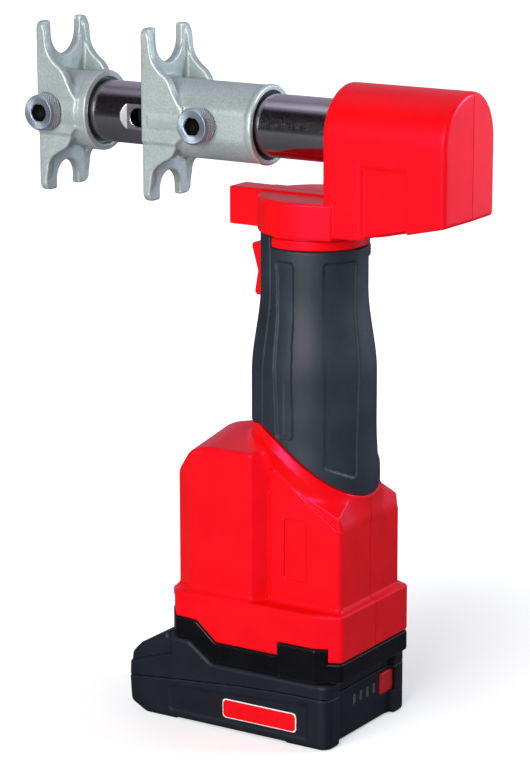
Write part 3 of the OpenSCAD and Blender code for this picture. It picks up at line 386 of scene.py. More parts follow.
def metal(name, dark, light, rough, grain, bump,
          edge_wear_and_highlight=False, stretch=None, metallic=1.0, speckle=0.0):
    """Metal: mottled tint, uneven roughness and fine grain or brush marks."""
    material, tree, shader, place = new_material(name)
    shader.inputs["Metallic"].default_value = metallic
    mottle = ranged(tree, noise(tree, place, 45, 5), 0.3, 0.7)
    colour = mixed(tree, mottle, dark, light)
    if speckle:
        spots = ranged(tree, noise(tree, place, SPECKLE_SCALE, 2), 0.42, 0.62, 0.0, speckle)
        colour = mixed(tree, spots, colour, tuple(0.45 * c for c in dark))
    fine = noise(tree, place, grain, 3, stretch)
    rough_out = ranged(tree, fine, 0.25, 0.75, max(0.03, rough - 0.1), rough + 0.1)
    # Convex edges are mixed towards near-white: partly worn bright edges, partly a painted highlight.
    if edge_wear_and_highlight:
        rub_and_highlight = edges(tree, 0.52, 0.6)
        colour = mixed(tree, rub_and_highlight, colour, (0.95, 0.96, 0.94))
    tree.links.new(colour, shader.inputs["Base Color"])
    tree.links.new(rough_out, shader.inputs["Roughness"])
    bumped(tree, shader, fine, bump, GRAIN_DEPTH)
    return material


def turned_steel(name, dark, light, rough, grain):
    """Steel with the ring marks of a lathe round the Y axis."""
    material = metal(name, dark, light, rough, grain, 0.05, metallic=0.8)
    tree = material.node_tree
    shader = tree.nodes["Principled BSDF"]
    shader.inputs["Anisotropic"].default_value = 0.75
    marks = tree.nodes.new("ShaderNodeTangent")
    marks.direction_type = "RADIAL"
    marks.axis = "Y"
    tree.links.new(marks.outputs["Tangent"], shader.inputs["Tangent"])
    return material


def painted_light_knurl_steel(name, dark, light, rough, grain):
    """Steel with painted light on a knurl: a painted highlight on its points and painted shade in the
    grooves between them.
    """
    material = metal(name, dark, light, rough, grain, 0.05, metallic=0.5)
    tree = material.node_tree
    shader = tree.nodes["Principled BSDF"]
    tree.links.new(mixed(tree, edges(tree, 0.40, 0.60), dark, light), shader.inputs["Base Color"])
    return material


FINISHES = {
    "red_shell": (
        plastic, (0.78, 0.0022, 0.0018), (0.86, 0.0034, 0.0026),
        dict(rough=0.34, grain=2600, bump=0.10, wear_and_highlight=0.15, sheen=ROSE)),
    "black_shell": (
        plastic, (0.005, 0.007, 0.0115), (0.0085, 0.0115, 0.018),
        dict(rough=0.50, grain=1500, bump=0.35, wear_and_highlight=0.4, shine=0.3)),
    "gloss_black": (
        plastic, (0.002, 0.002, 0.003), (0.004, 0.0042, 0.006),
        dict(rough=0.26, grain=1800, bump=0.05, wear_and_highlight=0.5, shine=0.2)),
    "grip_rubber": (
        plastic, (0.0135, 0.0200, 0.029), (0.021, 0.0300, 0.043),
        dict(rough=0.50, grain=1900, bump=0.25, wear_and_highlight=0.3, shine=0.4)),
    # The jaws' near-white edges are partly wear and partly a painted highlight.
    "cast_jaw": (
        metal, (0.46, 0.535, 0.515), (0.55, 0.63, 0.61),
        dict(rough=0.46, grain=1500, bump=0.5, edge_wear_and_highlight=True, metallic=0.5, speckle=0.3)),
    # Painted light on the knurl: near-black in the grooves as painted shade, near-white on the points as
    # painted highlight.
    "knurl_steel": (
        painted_light_knurl_steel, (0.10, 0.10, 0.12), (0.86, 0.87, 0.92), dict(rough=0.35, grain=1500)),
    "tube_steel": (
        metal, (0.42, 0.40, 0.42), (0.50, 0.47, 0.49),
        dict(rough=0.17, grain=700, bump=0.04, stretch=(6, 1, 1))),
    "milled_steel": (
        metal, (0.27, 0.265, 0.28), (0.35, 0.34, 0.355), dict(rough=0.42, grain=900, bump=0.15)),
    "screw_steel": (
        turned_steel, (0.36, 0.43, 0.50), (0.44, 0.51, 0.59), dict(rough=0.36, grain=1500)),
    # Near-black painted shade, for the screw sockets and for the spring inside the tube.
    "socket_black": (
        plastic, (0.002, 0.002, 0.002), (0.004, 0.004, 0.004),
        dict(rough=0.6, grain=1500, bump=0.1, shine=0.1)),
    "red_button": (
        plastic, (0.50, 0.006, 0.010), (0.62, 0.012, 0.016),
        dict(rough=0.32, grain=2000, bump=0.08, wear_and_highlight=0.3)),
    "badge_white": (
        plastic, (0.78, 0.78, 0.78), (0.86, 0.86, 0.86), dict(rough=0.30, grain=2000, bump=0.03)),
    "lens": (
        plastic, (0.05, 0.055, 0.06), (0.09, 0.095, 0.10), dict(rough=0.20, grain=2500, bump=0.05)),
    "cells": (
        plastic, (0.05, 0.13, 0.34), (0.08, 0.19, 0.44), dict(rough=0.30, grain=900, bump=0.05)),
    "circuit": (
        plastic, (0.01, 0.10, 0.03), (0.02, 0.16, 0.05), dict(rough=0.38, grain=1200, bump=0.12)),
    "contact": (
        metal, (0.66, 0.46, 0.18), (0.78, 0.58, 0.27), dict(rough=0.25, grain=1200, bump=0.05)),
    "machine_steel": (
        metal, (0.46, 0.47, 0.49), (0.58, 0.59, 0.61), dict(rough=0.28, grain=1600, bump=0.08)),
    "alloy": (
        metal, (0.58, 0.59, 0.60), (0.70, 0.71, 0.72), dict(rough=0.36, grain=1400, bump=0.12)),
    "seal": (
        plastic, (0.008, 0.008, 0.009), (0.014, 0.014, 0.015), dict(rough=0.50, grain=1700, bump=0.15)),
}
MATERIALS = {
    name: make(name, dark, light, **look) for name, (make, dark, light, look) in FINISHES.items()}


def dress(obj, material):
    obj.data.materials.clear()
    obj.data.materials.append(MATERIALS[material])


def place_piece(obj, body, nodes, slot, material=None):
    """Gives a new piece its finish, the body it rides on and the CAD nodes that it stands for."""
    dress(obj, material or slot)
    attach(obj, body)
    if nodes:
        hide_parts(*nodes)
    return obj


# Battery pack

POST_REAR, POST_HALF = 30.2, 26.5
PACK_PLAN = outline(mirrored([
    (PACK_FRONT, -PACK_HALF, 4), (POST_REAR, -PACK_HALF, 5.5), (POST_REAR, -POST_HALF, 1.0),
    (PACK_REAR, -POST_HALF + 0.6, 0.8)]), 8)
PACK_PANEL = outline([(-62, 4.0, 2), (19, 4.0, 2), (19, 22.4, 2), (-62, 17.6, 2)])
NOSE_STEP = outline([(-110, 17.1, 0), (-60.5, 33.7, 1), (-60.5, 70, 0), (-110, 70, 0)])
SPLIT_SIDE = [(-95, 17.2), (-83.5, 18.3), (-55, 21.2), (-22, 24.1), (7, 25.6), (40, 25.8)]
PACK_SIDE = outline([
    (-76, 0, 6), (PACK_FRONT + 1.5, 5.0, 4), (PACK_FRONT, 17, 3), (-85.6, 29.5, 4), (-79.5, 35.6, 4),
    (-62.6, 45.0, 1.5), (-62.6, 42.9, 0), (-50, 42.6, 3), (-36.4, PACK_TOP, 4),
    (40, PACK_TOP, 0), (40, 0, 0)])
TONGUE_FRONT, TONGUE_REAR, TONGUE_HALF, TONGUE_TOP = -38.0, 20.0, 20.0, 39.0
PACK_WALL, PACK_EDGE, PACK_POST_R, POST_IN = 2.4, 2.2, 3.6, 6.2
PACK_POSTS = [
    (x, y) for x in (PACK_FRONT + POST_IN, PACK_REAR - POST_IN)
    for y in (-PACK_HALF + POST_IN, PACK_HALF - POST_IN)]
PANEL_SUNK, PANEL_WALL = 0.35, (-0.2, 1.4)
NOSE_SUNK, NOSE_WALL = 1.2, (-0.2, 0.7)
FOOT_RELIEF, SIDE_RELIEF, SIDE_RELIEF_IN = 1.0, (-58.0, 6.0), 30.0
END_RELIEF, END_RELIEF_HALF = (-79.0, 19.4), 24.0
SPLIT_GAP, SPLIT_EDGE = 0.15, 0.35
TONGUE_ROOT, LIP_OUT, LIP_THICK = 28.0, 4.0, 3.0
TERMINAL_ROW, TERMINAL_HALF, TERMINAL_SLOT = (-12, 0, 12), 1.0, (5.6, 40)
FRONT_SEAT, REAR_SEAT = 5.6, 3.4
GAUGE_ROW, GAUGE_Z, GAUGE_DEEP = [-8.1, -1.9, 4.3, 10.5], 18.0, 4.0
BAR_HALF_W, BAR_HALF_H, WINDOW_EDGE = 1.35, 2.7, 0.15
BUTTON_Y, BUTTON_HALF_W, BUTTON_HALF_H, BUTTON_GAP, BUTTON_REAR = 22.0, 6.0, 5.5, 0.2, 28.2
LATCH_LOW, LATCH_HIGH = (-88.2, -15, 24.4), (-79.2, 15, 30.4)
LATCH_GAP_Y, LATCH_GAP_Z, LATCH_POCKET = 0.3, 0.4, -78.5
BADGE, BADGE_CORNER, BADGE_SUNK, BADGE_BEVEL = (-30.0, 12.4, 6.6, 16.4), 2.0, 0.5, (0.25, 0.12)
SCREW_RINGS = [
    (1.4, 14.0), (1.4, 0.0), (2.7, 0.0), (2.8, -0.2), (2.8, -1.9), (2.6, -2.3), (1.5, -2.4),
    (1.35, -2.3), (1.3, -1.0)]
SCREW_STEPS = 36
PACK_STEP = 0.85


def screw_seat(px):
    """Height at which a pack screw's head seats: deeper in front, where the underside rises."""
    return FRONT_SEAT if px < 0 else REAR_SEAT


def split_at(x):
    xs, zs = zip(*SPLIT_SIDE)
    return np.interp(x, xs, zs)


def pack_outer(x, y, z):
    """Outside of the whole pack, with a sunk panel on each side and a stepped nose."""
    panel = PANEL_SUNK * ramp(-area(x, z, PACK_PANEL), *PANEL_WALL)
    nose = NOSE_SUNK * ramp(-area(x, z, NOSE_STEP), *NOSE_WALL)
    return both(area(x, z, PACK_SIDE), area(x, y, PACK_PLAN) + panel + nose, PACK_EDGE)


def pack_feet(x, y, z):
    """Shallow reliefs under the pack that leave four feet."""
    side = both(slab(x, *SIDE_RELIEF), SIDE_RELIEF_IN - np.abs(y))
    end = both(np.abs(y) - END_RELIEF_HALF, -slab(x, *END_RELIEF))
    return both(join(side, end), z - FOOT_RELIEF)


def pack_shell(x, y, z):
    """Walls of the whole pack, with a post for each screw."""
    outer = pack_outer(x, y, z)
    body = both(outer, -(outer + PACK_WALL))
    for px, py in PACK_POSTS:
        body = join(body, both(np.hypot(x - px, y - py) - PACK_POST_R, outer))
    return body


def gauge_window(x, y, z, middle, half_w, half_h):
    """A window through the pack's rear wall."""
    opening = both(np.abs(y - middle) - half_w, np.abs(z - GAUGE_Z) - half_h)
    return both(opening, PACK_REAR - GAUGE_DEEP - x)


def tub_field(x, y, z):
    body = both(pack_shell(x, y, z), z - split_at(x) + SPLIT_GAP, SPLIT_EDGE)
    body = cut(body, pack_feet(x, y, z), 0.3)
    for gy in GAUGE_ROW:
        body = cut(body, gauge_window(x, y, z, gy, BAR_HALF_W, BAR_HALF_H), WINDOW_EDGE)
    half_w, half_h = BUTTON_HALF_W + BUTTON_GAP, BUTTON_HALF_H + BUTTON_GAP
    body = cut(body, gauge_window(x, y, z, BUTTON_Y, half_w, half_h), WINDOW_EDGE)
    for px, py in PACK_POSTS:
        body = cut(body, both(np.hypot(x - px, y - py) - SCREW_HEAD_R, z - screw_seat(px)))
    return body


def tongue_field(x, y, z):
    """Tongue that slides into the shoe, with a lip along each side."""
    side, along = np.abs(y), slab(x, TONGUE_FRONT, TONGUE_REAR)
    core = both(both(side - TONGUE_HALF, along, 1.0), slab(z, TONGUE_ROOT, TONGUE_TOP), 0.4)
    lips = both(side - TONGUE_HALF - LIP_OUT, along, 1.0)
    return join(core, both(lips, slab(z, TONGUE_TOP - LIP_THICK, TONGUE_TOP), 0.4))


def cover_field(x, y, z):
    body = join(pack_shell(x, y, z), tongue_field(x, y, z))
    body = both(body, split_at(x) + SPLIT_GAP - z, SPLIT_EDGE)
    for middle in TERMINAL_ROW:
        slot = both(np.abs(y - middle) - TERMINAL_HALF, slab(x, *TERMINAL_SLOT))
        body = cut(body, both(slot, PACK_TOP - z), 0.2)
    tall = slab(z, LATCH_LOW[2] - LATCH_GAP_Z, LATCH_HIGH[2] + LATCH_GAP_Z)
    latch = both(np.abs(y) - LATCH_HIGH[1] - LATCH_GAP_Y, tall, 0.5)
    return cut(body, both(latch, x - LATCH_POCKET), 0.4)


def rounded_block(name, low, high, edge, step):
    mid = [(a + b) / 2 for a, b in zip(low, high)]
    half = [(b - a) / 2 for a, b in zip(low, high)]

    def field(x, y, z):
        d = [np.abs(v - m) - h + edge for v, m, h in zip((x, y, z), mid, half)]
        outside = np.sqrt(sum(np.maximum(v, 0) ** 2 for v in d))
        return outside + np.minimum(np.maximum(np.maximum(d[0], d[1]), d[2]), 0) - edge
    margin = 2 * step
    return shape(name, field, [v - margin for v in low], [v + margin for v in high], step)


def badge(name, inset, lift):
    """A blank badge on the left of the pack."""
    x0, x1, z0, z1 = BADGE
    rings = [(inset, 0.0), (inset, lift), (inset + BADGE_BEVEL[0], lift + BADGE_BEVEL[1])]
    points = []
    for back, height in rings:
        ends, levels = (x0 + back, x1 - back), (z0 + back, z1 - back)
        plan = [(0, 0), (1, 0), (1, 1), (0, 1)]
        ring = outline([(ends[i], levels[k], BADGE_CORNER) for i, k in plan], 8)
        points.extend((u, -PACK_HALF + BADGE_SUNK - height, v) for u, v in ring)
    obj = new_object(name, points, ring_faces(len(rings), len(ring)))
    obj.data.polygons.foreach_set("use_smooth", np.zeros(len(obj.data.polygons), bool))
    return obj


def pack_screw_set(name):
    """The four screws under the pack, heads down, as one piece."""
    angles = np.linspace(0, 2 * math.pi, SCREW_STEPS, endpoint=False)
    points, faces = [], []
    for px, py in PACK_POSTS:
        first = len(points)
        for r, h in SCREW_RINGS:
            height = np.full(len(angles), screw_seat(px) + h)
            points.extend(zip(px + r * np.cos(angles), py - r * np.sin(angles), height))
        for face in ring_faces(len(SCREW_RINGS), len(angles)):
            faces.append(tuple(first + k for k in face))
    return new_object(name, points, faces)


def build_pack():
    front, rear, half = PACK_FRONT - ROOM, PACK_REAR + ROOM, PACK_HALF + ROOM
    tub = shape("pack_tub_shell", tub_field, (front, -half, -2), (rear, half, 30), PACK_STEP)
    place_piece(tub, "battery", ["pack_tub"], "black_shell")
    cover = shape("pack_cover_shell", cover_field, (front, -half, 14), (rear, half, 50), PACK_STEP)
    place_piece(cover, "battery", ["pack_cover"], "black_shell")
    button_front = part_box("gauge_button")[0].x / MM
    low = (button_front, BUTTON_Y - BUTTON_HALF_W, GAUGE_Z - BUTTON_HALF_H)
    high = (BUTTON_REAR, BUTTON_Y + BUTTON_HALF_W, GAUGE_Z + BUTTON_HALF_H)
    button = rounded_block("gauge_button_cap", low, high, 0.9, 0.35)
    place_piece(button, "gauge_key", ["gauge_button"], "red_button")
    screws = pack_screw_set("pack_screw_heads")
    place_piece(screws, "battery", ["pack_screws"], "screw_steel")
    latch = rounded_block("latch_button_cap", LATCH_LOW, LATCH_HIGH, 1.2, 0.4)
    place_piece(latch, "latch_key", ["latch_button"], "black_shell")
    place_piece(badge("pack_badge_border", 0.0, 0.35), "battery", [], "lens", "badge_white")
    place_piece(badge("pack_badge_field", 0.5, 0.55), "battery", [], "red_button", "red_shell")


# Shoe and red housing

FLANGE_PLAN = outline(mirrored([
    (SHOE_FRONT, -FLANGE_HALF + 5.5, 1.5), (SHOE_FRONT + 5, -FLANGE_HALF, 1.5),
    (FLANGE_REAR - 13, -FLANGE_HALF, 2), (FLANGE_REAR, -FLANGE_HALF + 6, 2.5)]))
SHOE_SIDE = outline([
    (-90, 58, 0), (-62.6, 58, 0), (-58, 53.4, 2), (-46, 53.0, 2.5), (-34.6, FLANGE_Z, 2.5),
    (60, FLANGE_Z, 0), (60, SHOE_Z, 0), (-36.3, SHOE_Z, 3), (-49, 43.0, 2.5), (-90, 43.4, 0)])
FLANGE_SIDE = outline([
    (-90, FLANGE_TOP, 0), (60, FLANGE_TOP, 0), (60, FLANGE_Z + 0.2, 0), (-34.5, FLANGE_Z + 0.2, 2.5),
    (-45.9, 53.2, 2.5), (-58, 53.6, 1.5), (-61.2, 57, 0), (-61.2, 62, 0), (-90, 62, 0)])
TAB_FRONT, TAB_REAR, TAB_INNER, TAB_OUTER, TAB_TOP, TAB_GAP = 1.5, 27.5, 28.7, 38.3, 50.4, 0.3
TAB_PLAN = outline([
    (TAB_FRONT, TAB_INNER, 0), (TAB_FRONT, TAB_OUTER, 0.6), (TAB_REAR - 5, TAB_OUTER, 1.5),
    (TAB_REAR, TAB_OUTER - 4, 1), (TAB_REAR, TAB_INNER, 0)])
SLIDE_GAP, CHANNEL_FRONT = 0.4, -80.0
BULGE_PLAN = outline(mirrored([
    (BOX_FRONT, -29, 3), (-50, -BULGE_HALF, 4), (-15.4, -BULGE_HALF, 2.8), (-8.2, -26, 0)]))
PANEL_PROUD = 0.8
CORE_PLAN = outline(mirrored([
    (-12, -PANEL_HALF + PANEL_PROUD, 0), (BOX_REAR, -PANEL_HALF + PANEL_PROUD, 2.5)]))
PANEL_PLAN = outline(mirrored([(-12, -PANEL_HALF, 0), (BOX_REAR, -PANEL_HALF, 2.5)]))
PANEL_EDGE = outline([(-8.8, 40, 0), (60, 40, 0), (60, 87.7, 0), (-8.8, 134.1, 1.5)])
LABEL = outline([(-0.5, 79.8, 2), (12, 79.8, 2), (12, 110, 2), (-0.5, 110, 2)])
LABEL_SUNK = 0.6
HOUSING_POSTS = [(-52, 75.4), (-52, 117.4), (25, 77.4), (25, 96.8)]
HOUSING_SEAT, CORE_FOOT, BORE_FOOT = 14.25, 81.4, 80.0
GABLE_RISE, ROOF_EDGE = 0.174, 3.0
NOSE_FACET, NOSE_FACET_WAY = (-60.5, 125.5), (-11.2, 8.5)
BROW_FACET, BROW_FACET_WAY = (-52, 136.7), (-3.9, 7)
ROOF_Z, ROOF_X, ROOF_FALL, ROOF_STEEP = 133.2, -7.5, 0.675, 6.0
CONE_Z, CONE_R, CONE_FALL = 114.0, 40.2, 0.7
FACET_Z, FACET_STEEP = 108.3, 4.2
SKIRT_DEPTHS, SKIRT_FLARE = (0, 5.5, 17.5, 22), (0, 1.8, -3.2, -7)
SKIRT_R, SKIRT_FOOT, SKIRT_GAP = 31.0, 108.5, 0.25
SKIRT_FROM, SKIRT_TO = (-16, -6), (16, 28)
ROCKER_HALF, ROCKER_GAP, ROCKER_FOOT, ROCKER_HEAD = 7.5, 0.8, 211.2, 239.8
HOUSING_STEP, SEAM_GRID = 0.85, (0, 0.7, 0.15)


def joint_at(x):
    """Height of the joint between the grip and its collar, seen from the side."""
    side = soft_min(149.7 - 0.46 * (x + 4.0), 150.4 - 0.86 * (x + 4.3), 2.0)
    return soft_min(side, 155.4 + 0.25 * (x + 14.4), 0.8)


def shoe_field(x, y, z):
    body = both(area(x, y, FLANGE_PLAN), area(x, z, SHOE_SIDE), 0.9)
    side = np.abs(y)
    tab = both(area(x, side, TAB_PLAN), slab(z, SHOE_Z, TAB_TOP), 0.7)
    body = join(body, tab, 0.4)
    along, top = slab(x, CHANNEL_FRONT, TONGUE_REAR + SLIDE_GAP), TONGUE_TOP + SLIDE_GAP
    channel = both(side - TONGUE_HALF - SLIDE_GAP, along)
    lips = both(side - TONGUE_HALF - LIP_OUT - SLIDE_GAP, along)
    body = cut(body, both(channel, z - top), 0.3)
    return cut(body, both(lips, slab(z, TONGUE_TOP - LIP_THICK - SLIDE_GAP, top)), 0.3)


def flange_field(x, y, z):
    body = both(area(x, y, FLANGE_PLAN), area(x, z, FLANGE_SIDE), 1.5)
    notch = both(slab(x, TAB_FRONT - TAB_GAP, TAB_REAR + TAB_GAP), TAB_INNER - np.abs(y))
    return cut(body, both(notch, z - TAB_TOP - TAB_GAP), 0.4)


def bulge_field(x, y, z):
    """Front of the box, with its chamfered and gabled roof."""
    side = np.abs(y)
    lifted = z - GABLE_RISE * (BULGE_HALF - side)
    nose = plane(x, lifted, NOSE_FACET, NOSE_FACET_WAY)
    brow = plane(x, lifted, BROW_FACET, BROW_FACET_WAY)
    roof = both(both(nose, brow, 1.0), 0.985 * (lifted - BOX_TOP), ROOF_EDGE)
    return both(area(x, y, BULGE_PLAN), roof, 1.6)


def rear_field(x, y, z):
    """Rear of the box: a falling roof, a steep facet over the rear face, a proud panel on each side."""
    fall = ROOF_FALL * (x - ROOF_X) - ROOF_STEEP * (PANEL_HALF - np.abs(y))
    roof = (z - ROOF_Z + fall) / 6.1
    cone = (z - CONE_Z - CONE_FALL * (CONE_R - np.hypot(x, y))) / math.hypot(1, CONE_FALL)
    facet = (z - FACET_Z - FACET_STEEP * (BOX_REAR - x)) / math.hypot(1, FACET_STEEP)
    core = both(area(x, y, CORE_PLAN), both(both(roof, cone, 0.6), facet, 0.4), 0.6)
    panel = both(area(x, y, PANEL_PLAN), area(x, z, PANEL_EDGE), 0.7)
    return join(core, both(panel, facet, 0.5))


def collar_field(x, y, z):
    """Skirt under the grip: it flares at the sides, then falls back to the narrower box."""
    depth = joint_at(x) - z
    sides = ramp(x, *SKIRT_FROM) * (1 - ramp(x, *SKIRT_TO))
    radius = SKIRT_R + sides * np.interp(depth, SKIRT_DEPTHS, SKIRT_FLARE)
    ends = both(0.76 * (SKIRT_GAP - depth), 0.8 * (SKIRT_FOOT - z))
    return both(0.85 * (np.hypot(x, y) - radius), ends, 0.4)


def housing_outer(x, y, z):
    box = join(bulge_field(x, y, z), rear_field(x, y, z), 0.6)
    box = join(box, collar_field(x, y, z), 2.6)
    body = join(flange_field(x, y, z), both(box, FLANGE_Z + 10 - z), 2.5)
    return cut(body, both(area(x, z, LABEL), PANEL_HALF - LABEL_SUNK - np.abs(y)), 0.35)


def housing_field(side):
    def field(x, y, z):
        outer = housing_outer(x, y, z)
        body = both(outer, -(outer + SHELL_WALL))
        for px, pz in HOUSING_POSTS:
            body = join(body, both(np.hypot(x - px, z - pz) - SHELL_POST_R, outer))
        core = both(np.hypot(x, y) - CORE_R, slab(z, CORE_FOOT, GRIP_TOP))
        body = cut(join(body, core), both(np.hypot(x, y) - CORE_BORE, BORE_FOOT - z))
        rocker = both(np.abs(y) - ROCKER_HALF - ROCKER_GAP, ROCKER_FOOT - z)
        body = cut(body, both(rocker, x + CORE_BORE - 2.6))
        if side > 0:
            for px, pz in HOUSING_POSTS:
                body = cut(body, both(np.hypot(x - px, z - pz) - SCREW_HEAD_R, HOUSING_SEAT - y), 0.4)
        return both(body, SEAM - side * y, SEAM_EDGE)
    return field


def half_span(side, reach):
    """Y limits of a mesh grid for one half of a casing."""
    return (-reach, 1) if side < 0 else (-1, reach)


def build_housing():
    shoe = shape("base_shoe_shell", shoe_field, (-66, -41, 30), (38, 41, 61), HOUSING_STEP)
    place_piece(shoe, "tool_body", ["base_shoe"], "black_shell", "gloss_black")
    for hand, side in (("left", -1), ("right", 1)):
        near, far = half_span(side, 43)
        fine = ((), (SEAM_GRID, (side * 28.1, 0.8, 0.3)), ())
        field = housing_field(side)
        half = shape(f"housing_{hand}_shell", field, (-66, near, 41), (38, far, 242), HOUSING_STEP, fine)
        place_piece(half, "tool_body", [f"housing_{hand}"], "red_shell")


# Grip, rocker and neck

FRONT_PANEL = [(-107, 235), (-83, 235), (-79, 149), (-98, 149)]
REAR_PANEL = [(-52, 235), (-10, 235), (-18, 129), (-52, 136)]
PANEL_DEG, PANEL_CORNER, PANEL_DEEP = math.radians(28), 2.5, 1.0
FRONT_PANEL_LINE, REAR_PANEL_LINE = (
    outline([(a * PANEL_DEG, z, PANEL_CORNER) for a, z in panel]) for panel in (FRONT_PANEL, REAR_PANEL))
NECK_R, BELLY_GROWS, FOOT_GROWS = 26.0, 4.4, 0.9
STRIP_ARC, STRIP_TOP, STRIP_PROUD = 115 * PANEL_DEG, 245.5, 0.6
ROCKER_SIDE = outline([
    (-20, 212.6, 0), (-29.4, 212.6, 1.4), (-30.4, 214.2, 1), (-28.6, 224.6, 1.2), (-32.0, 236.4, 0.8),
    (-31.6, 238.2, 1.2), (-26, 238.2, 0.5), (-20, 236, 0)])
PIVOT_X, PIVOT_Z, PIVOT_R, PIVOT_BORE = -19.2, 225.0, 2.5, 1.25
RING_R, RING_LIP_R, RING_BORE = 25.6, 24.9, 12.0


def grip_radius(z):
    """Radius of the grip: narrow at the neck, then a belly and a slight flare at the foot."""
    return NECK_R + BELLY_GROWS * ramp(-z, -219, -177) + FOOT_GROWS * ramp(-z, -152, -126)


def strip_arc(x, y):
    """Distance round the grip from the rear, negative to match the panels."""
    return -np.degrees(np.arctan2(np.abs(y), x)) * PANEL_DEG


def grip_field(x, y, z):
    radial = np.hypot(x, y)
    arc = strip_arc(x, y)
    sunk = np.minimum(area(arc, z, FRONT_PANEL_LINE), area(arc, z, REAR_PANEL_LINE))
    proud = STRIP_PROUD * ramp(-arc, STRIP_ARC - 0.6, STRIP_ARC + 0.6)
    radius = grip_radius(z) - PANEL_DEEP * ramp(-sunk, -0.1, 1.3) + proud
    wall = 0.98 * (radial - radius)
    strip = both(both(wall, z - STRIP_TOP, 0.5), STRIP_ARC + arc, 0.3)
    body = join(both(wall, z - GRIP_TOP, 1.0), strip)
    body = both(body, 0.78 * (joint_at(x) + SKIRT_GAP - z), 0.8)
    body = cut(body, radial - CORE_R - 0.05)
    opening = both(np.abs(y) - ROCKER_HALF - ROCKER_GAP, slab(z, ROCKER_FOOT, ROCKER_HEAD), 1.0)
    return cut(body, both(opening, x), 0.5)


def rocker_field(x, y, z):
    pivot, side = np.hypot(x - PIVOT_X, z - PIVOT_Z), np.abs(y) - ROCKER_HALF
    body = both(area(x, z, ROCKER_SIDE), side, 0.8)
    hub = both(pivot - PIVOT_R, side, 0.3)
    return cut(join(body, hub, 0.8), pivot - PIVOT_BORE)


def ring_field(x, y, z):
    radial, top = np.hypot(x, y), HUB_Z - 0.2
    band = both(radial - RING_R, slab(z, RING_Z, top), 0.9)
    lip = both(radial - RING_LIP_R, slab(z, HUB_Z - 1.6, top), 0.3)
    band = join(both(band, z - HUB_Z + 1.2, 0.5), lip)
    band = cut(band, both(STRIP_ARC - 0.2 + strip_arc(x, y), CORE_R - 0.2 - radial))
    return cut(band, radial - RING_BORE)


def build_grip():
    grip = shape("grip_sleeve_rubber", grip_field, (-35, -35, 112), (35, 35, 248), 0.7)
    place_piece(grip, "tool_body", ["grip_sleeve"], "grip_rubber")
    rocker = shape("rocker_trigger_cap", rocker_field, (-34, -9, 210), (-15, 9, 241), 0.4)
    place_piece(rocker, "rocker", ["rocker_trigger"], "red_button", "red_shell")
    ring = shape("neck_ring_cap", ring_field, (-28, -28, 238), (28, 28, 248), 0.5)
    place_piece(ring, "tool_body", ["neck_ring"], "red_shell")


# Swivelling head

HEAD_POSTS, HEAD_SEAT = [(68, 264.2), (22.4, 268.4), (-36, 254.8)], 3.5
REAR_BOW = 0.0675
FOOT_X, FOOT_Z, FOOT_WAY = 38.0, 247.5, (0.229, -1)
SIDE_DEEP, SIDE_FRONT, SIDE_REAR, SIDE_TOP = 1.8, 36.9, 62.2, 283.6
NOTCH_X, NOTCH_Z, NOTCH_IN = 39.4, 249.3, 14.0
HUB_R, BLOCK_PROUD, BLOCK_ENDS, HUB_FILLET = 28.0, 0.35, (-2.0, 22.2), 8.0
RIDGE_HALF, RIDGE_ENDS, RIDGE_RISE = 7.3, (-45.0, 24.0), 0.9
TUBE_GAP, TUBE_SOCKET, SPIGOT_HOLE, SPIGOT_TOP = 0.35, 30.0, 12.5, 262.0
HEAD_STEP = 0.75


def tower_field(x, y, z):
    side = np.abs(y)
    arch = np.hypot(y, np.maximum(z - TUBE_Z, 0)) - HEAD_HALF
    body = both(arch, (x - HEAD_REAR + REAR_BOW * side) / 1.002, 2.2)
    body = both(body, HEAD_FRONT - x, 3.0)
    foot = both(FOOT_Z - z, plane(x, z, (FOOT_X, FOOT_Z), FOOT_WAY), 2)
    body = both(body, foot, 1.6)
    front = plane(x, side, (SIDE_FRONT, HEAD_HALF), (-SIDE_DEEP, -2.4))
    panel = both(HEAD_HALF - SIDE_DEEP - side, front, 0.3)
    panel = both(panel, plane(z, side, (SIDE_TOP, HEAD_HALF), (SIDE_DEEP, -2.6)), 0.5)
    notch = both(NOTCH_IN - side, plane(x, z, (FOOT_X, NOTCH_Z), (-FOOT_WAY[0], -FOOT_WAY[1])), 0.5)
    panel = join(panel, both(notch, NOTCH_X - x), 0.5)
    return cut(body, both(panel, x - SIDE_REAR, 0.5), 0.5)


def hub_field(x, y, z):
    side = np.abs(y)
    block = both(side - HEAD_HALF - BLOCK_PROUD, slab(x, *BLOCK_ENDS), 0.5)
    plan = join(np.hypot(x, y) - HUB_R, block, HUB_FILLET)
    body = both(plan, slab(z, HUB_Z, HUB_TOP), 1.3)
    ridge = both(side - RIDGE_HALF, slab(x, *RIDGE_ENDS), 1.2)
    ridge = both(ridge, slab(z, HUB_Z - 0.2, HUB_TOP + RIDGE_RISE), 1.1)
    return join(body, ridge, 2.2)


def head_field(side):
    def field(x, y, z):
        outer = join(hub_field(x, y, z), tower_field(x, y, z), 0.8)
        body = both(outer, -(outer + SHELL_WALL))
        for px, pz in HEAD_POSTS:
            body = join(body, both(np.hypot(x - px, z - pz) - SHELL_POST_R, outer))
        body = cut(body, both(np.hypot(y, z - TUBE_Z) - TUBE_R - TUBE_GAP, x - TUBE_SOCKET), 0.5)
        body = cut(body, both(np.hypot(x, y) - SPIGOT_HOLE, z - SPIGOT_TOP), 0.5)
        if side > 0:
            for px, pz in HEAD_POSTS:
                body = cut(body, both(np.hypot(x - px, z - pz) - SCREW_HEAD_R, HEAD_SEAT - y), 0.4)
        return both(body, SEAM - side * y, SEAM_EDGE)
    return field


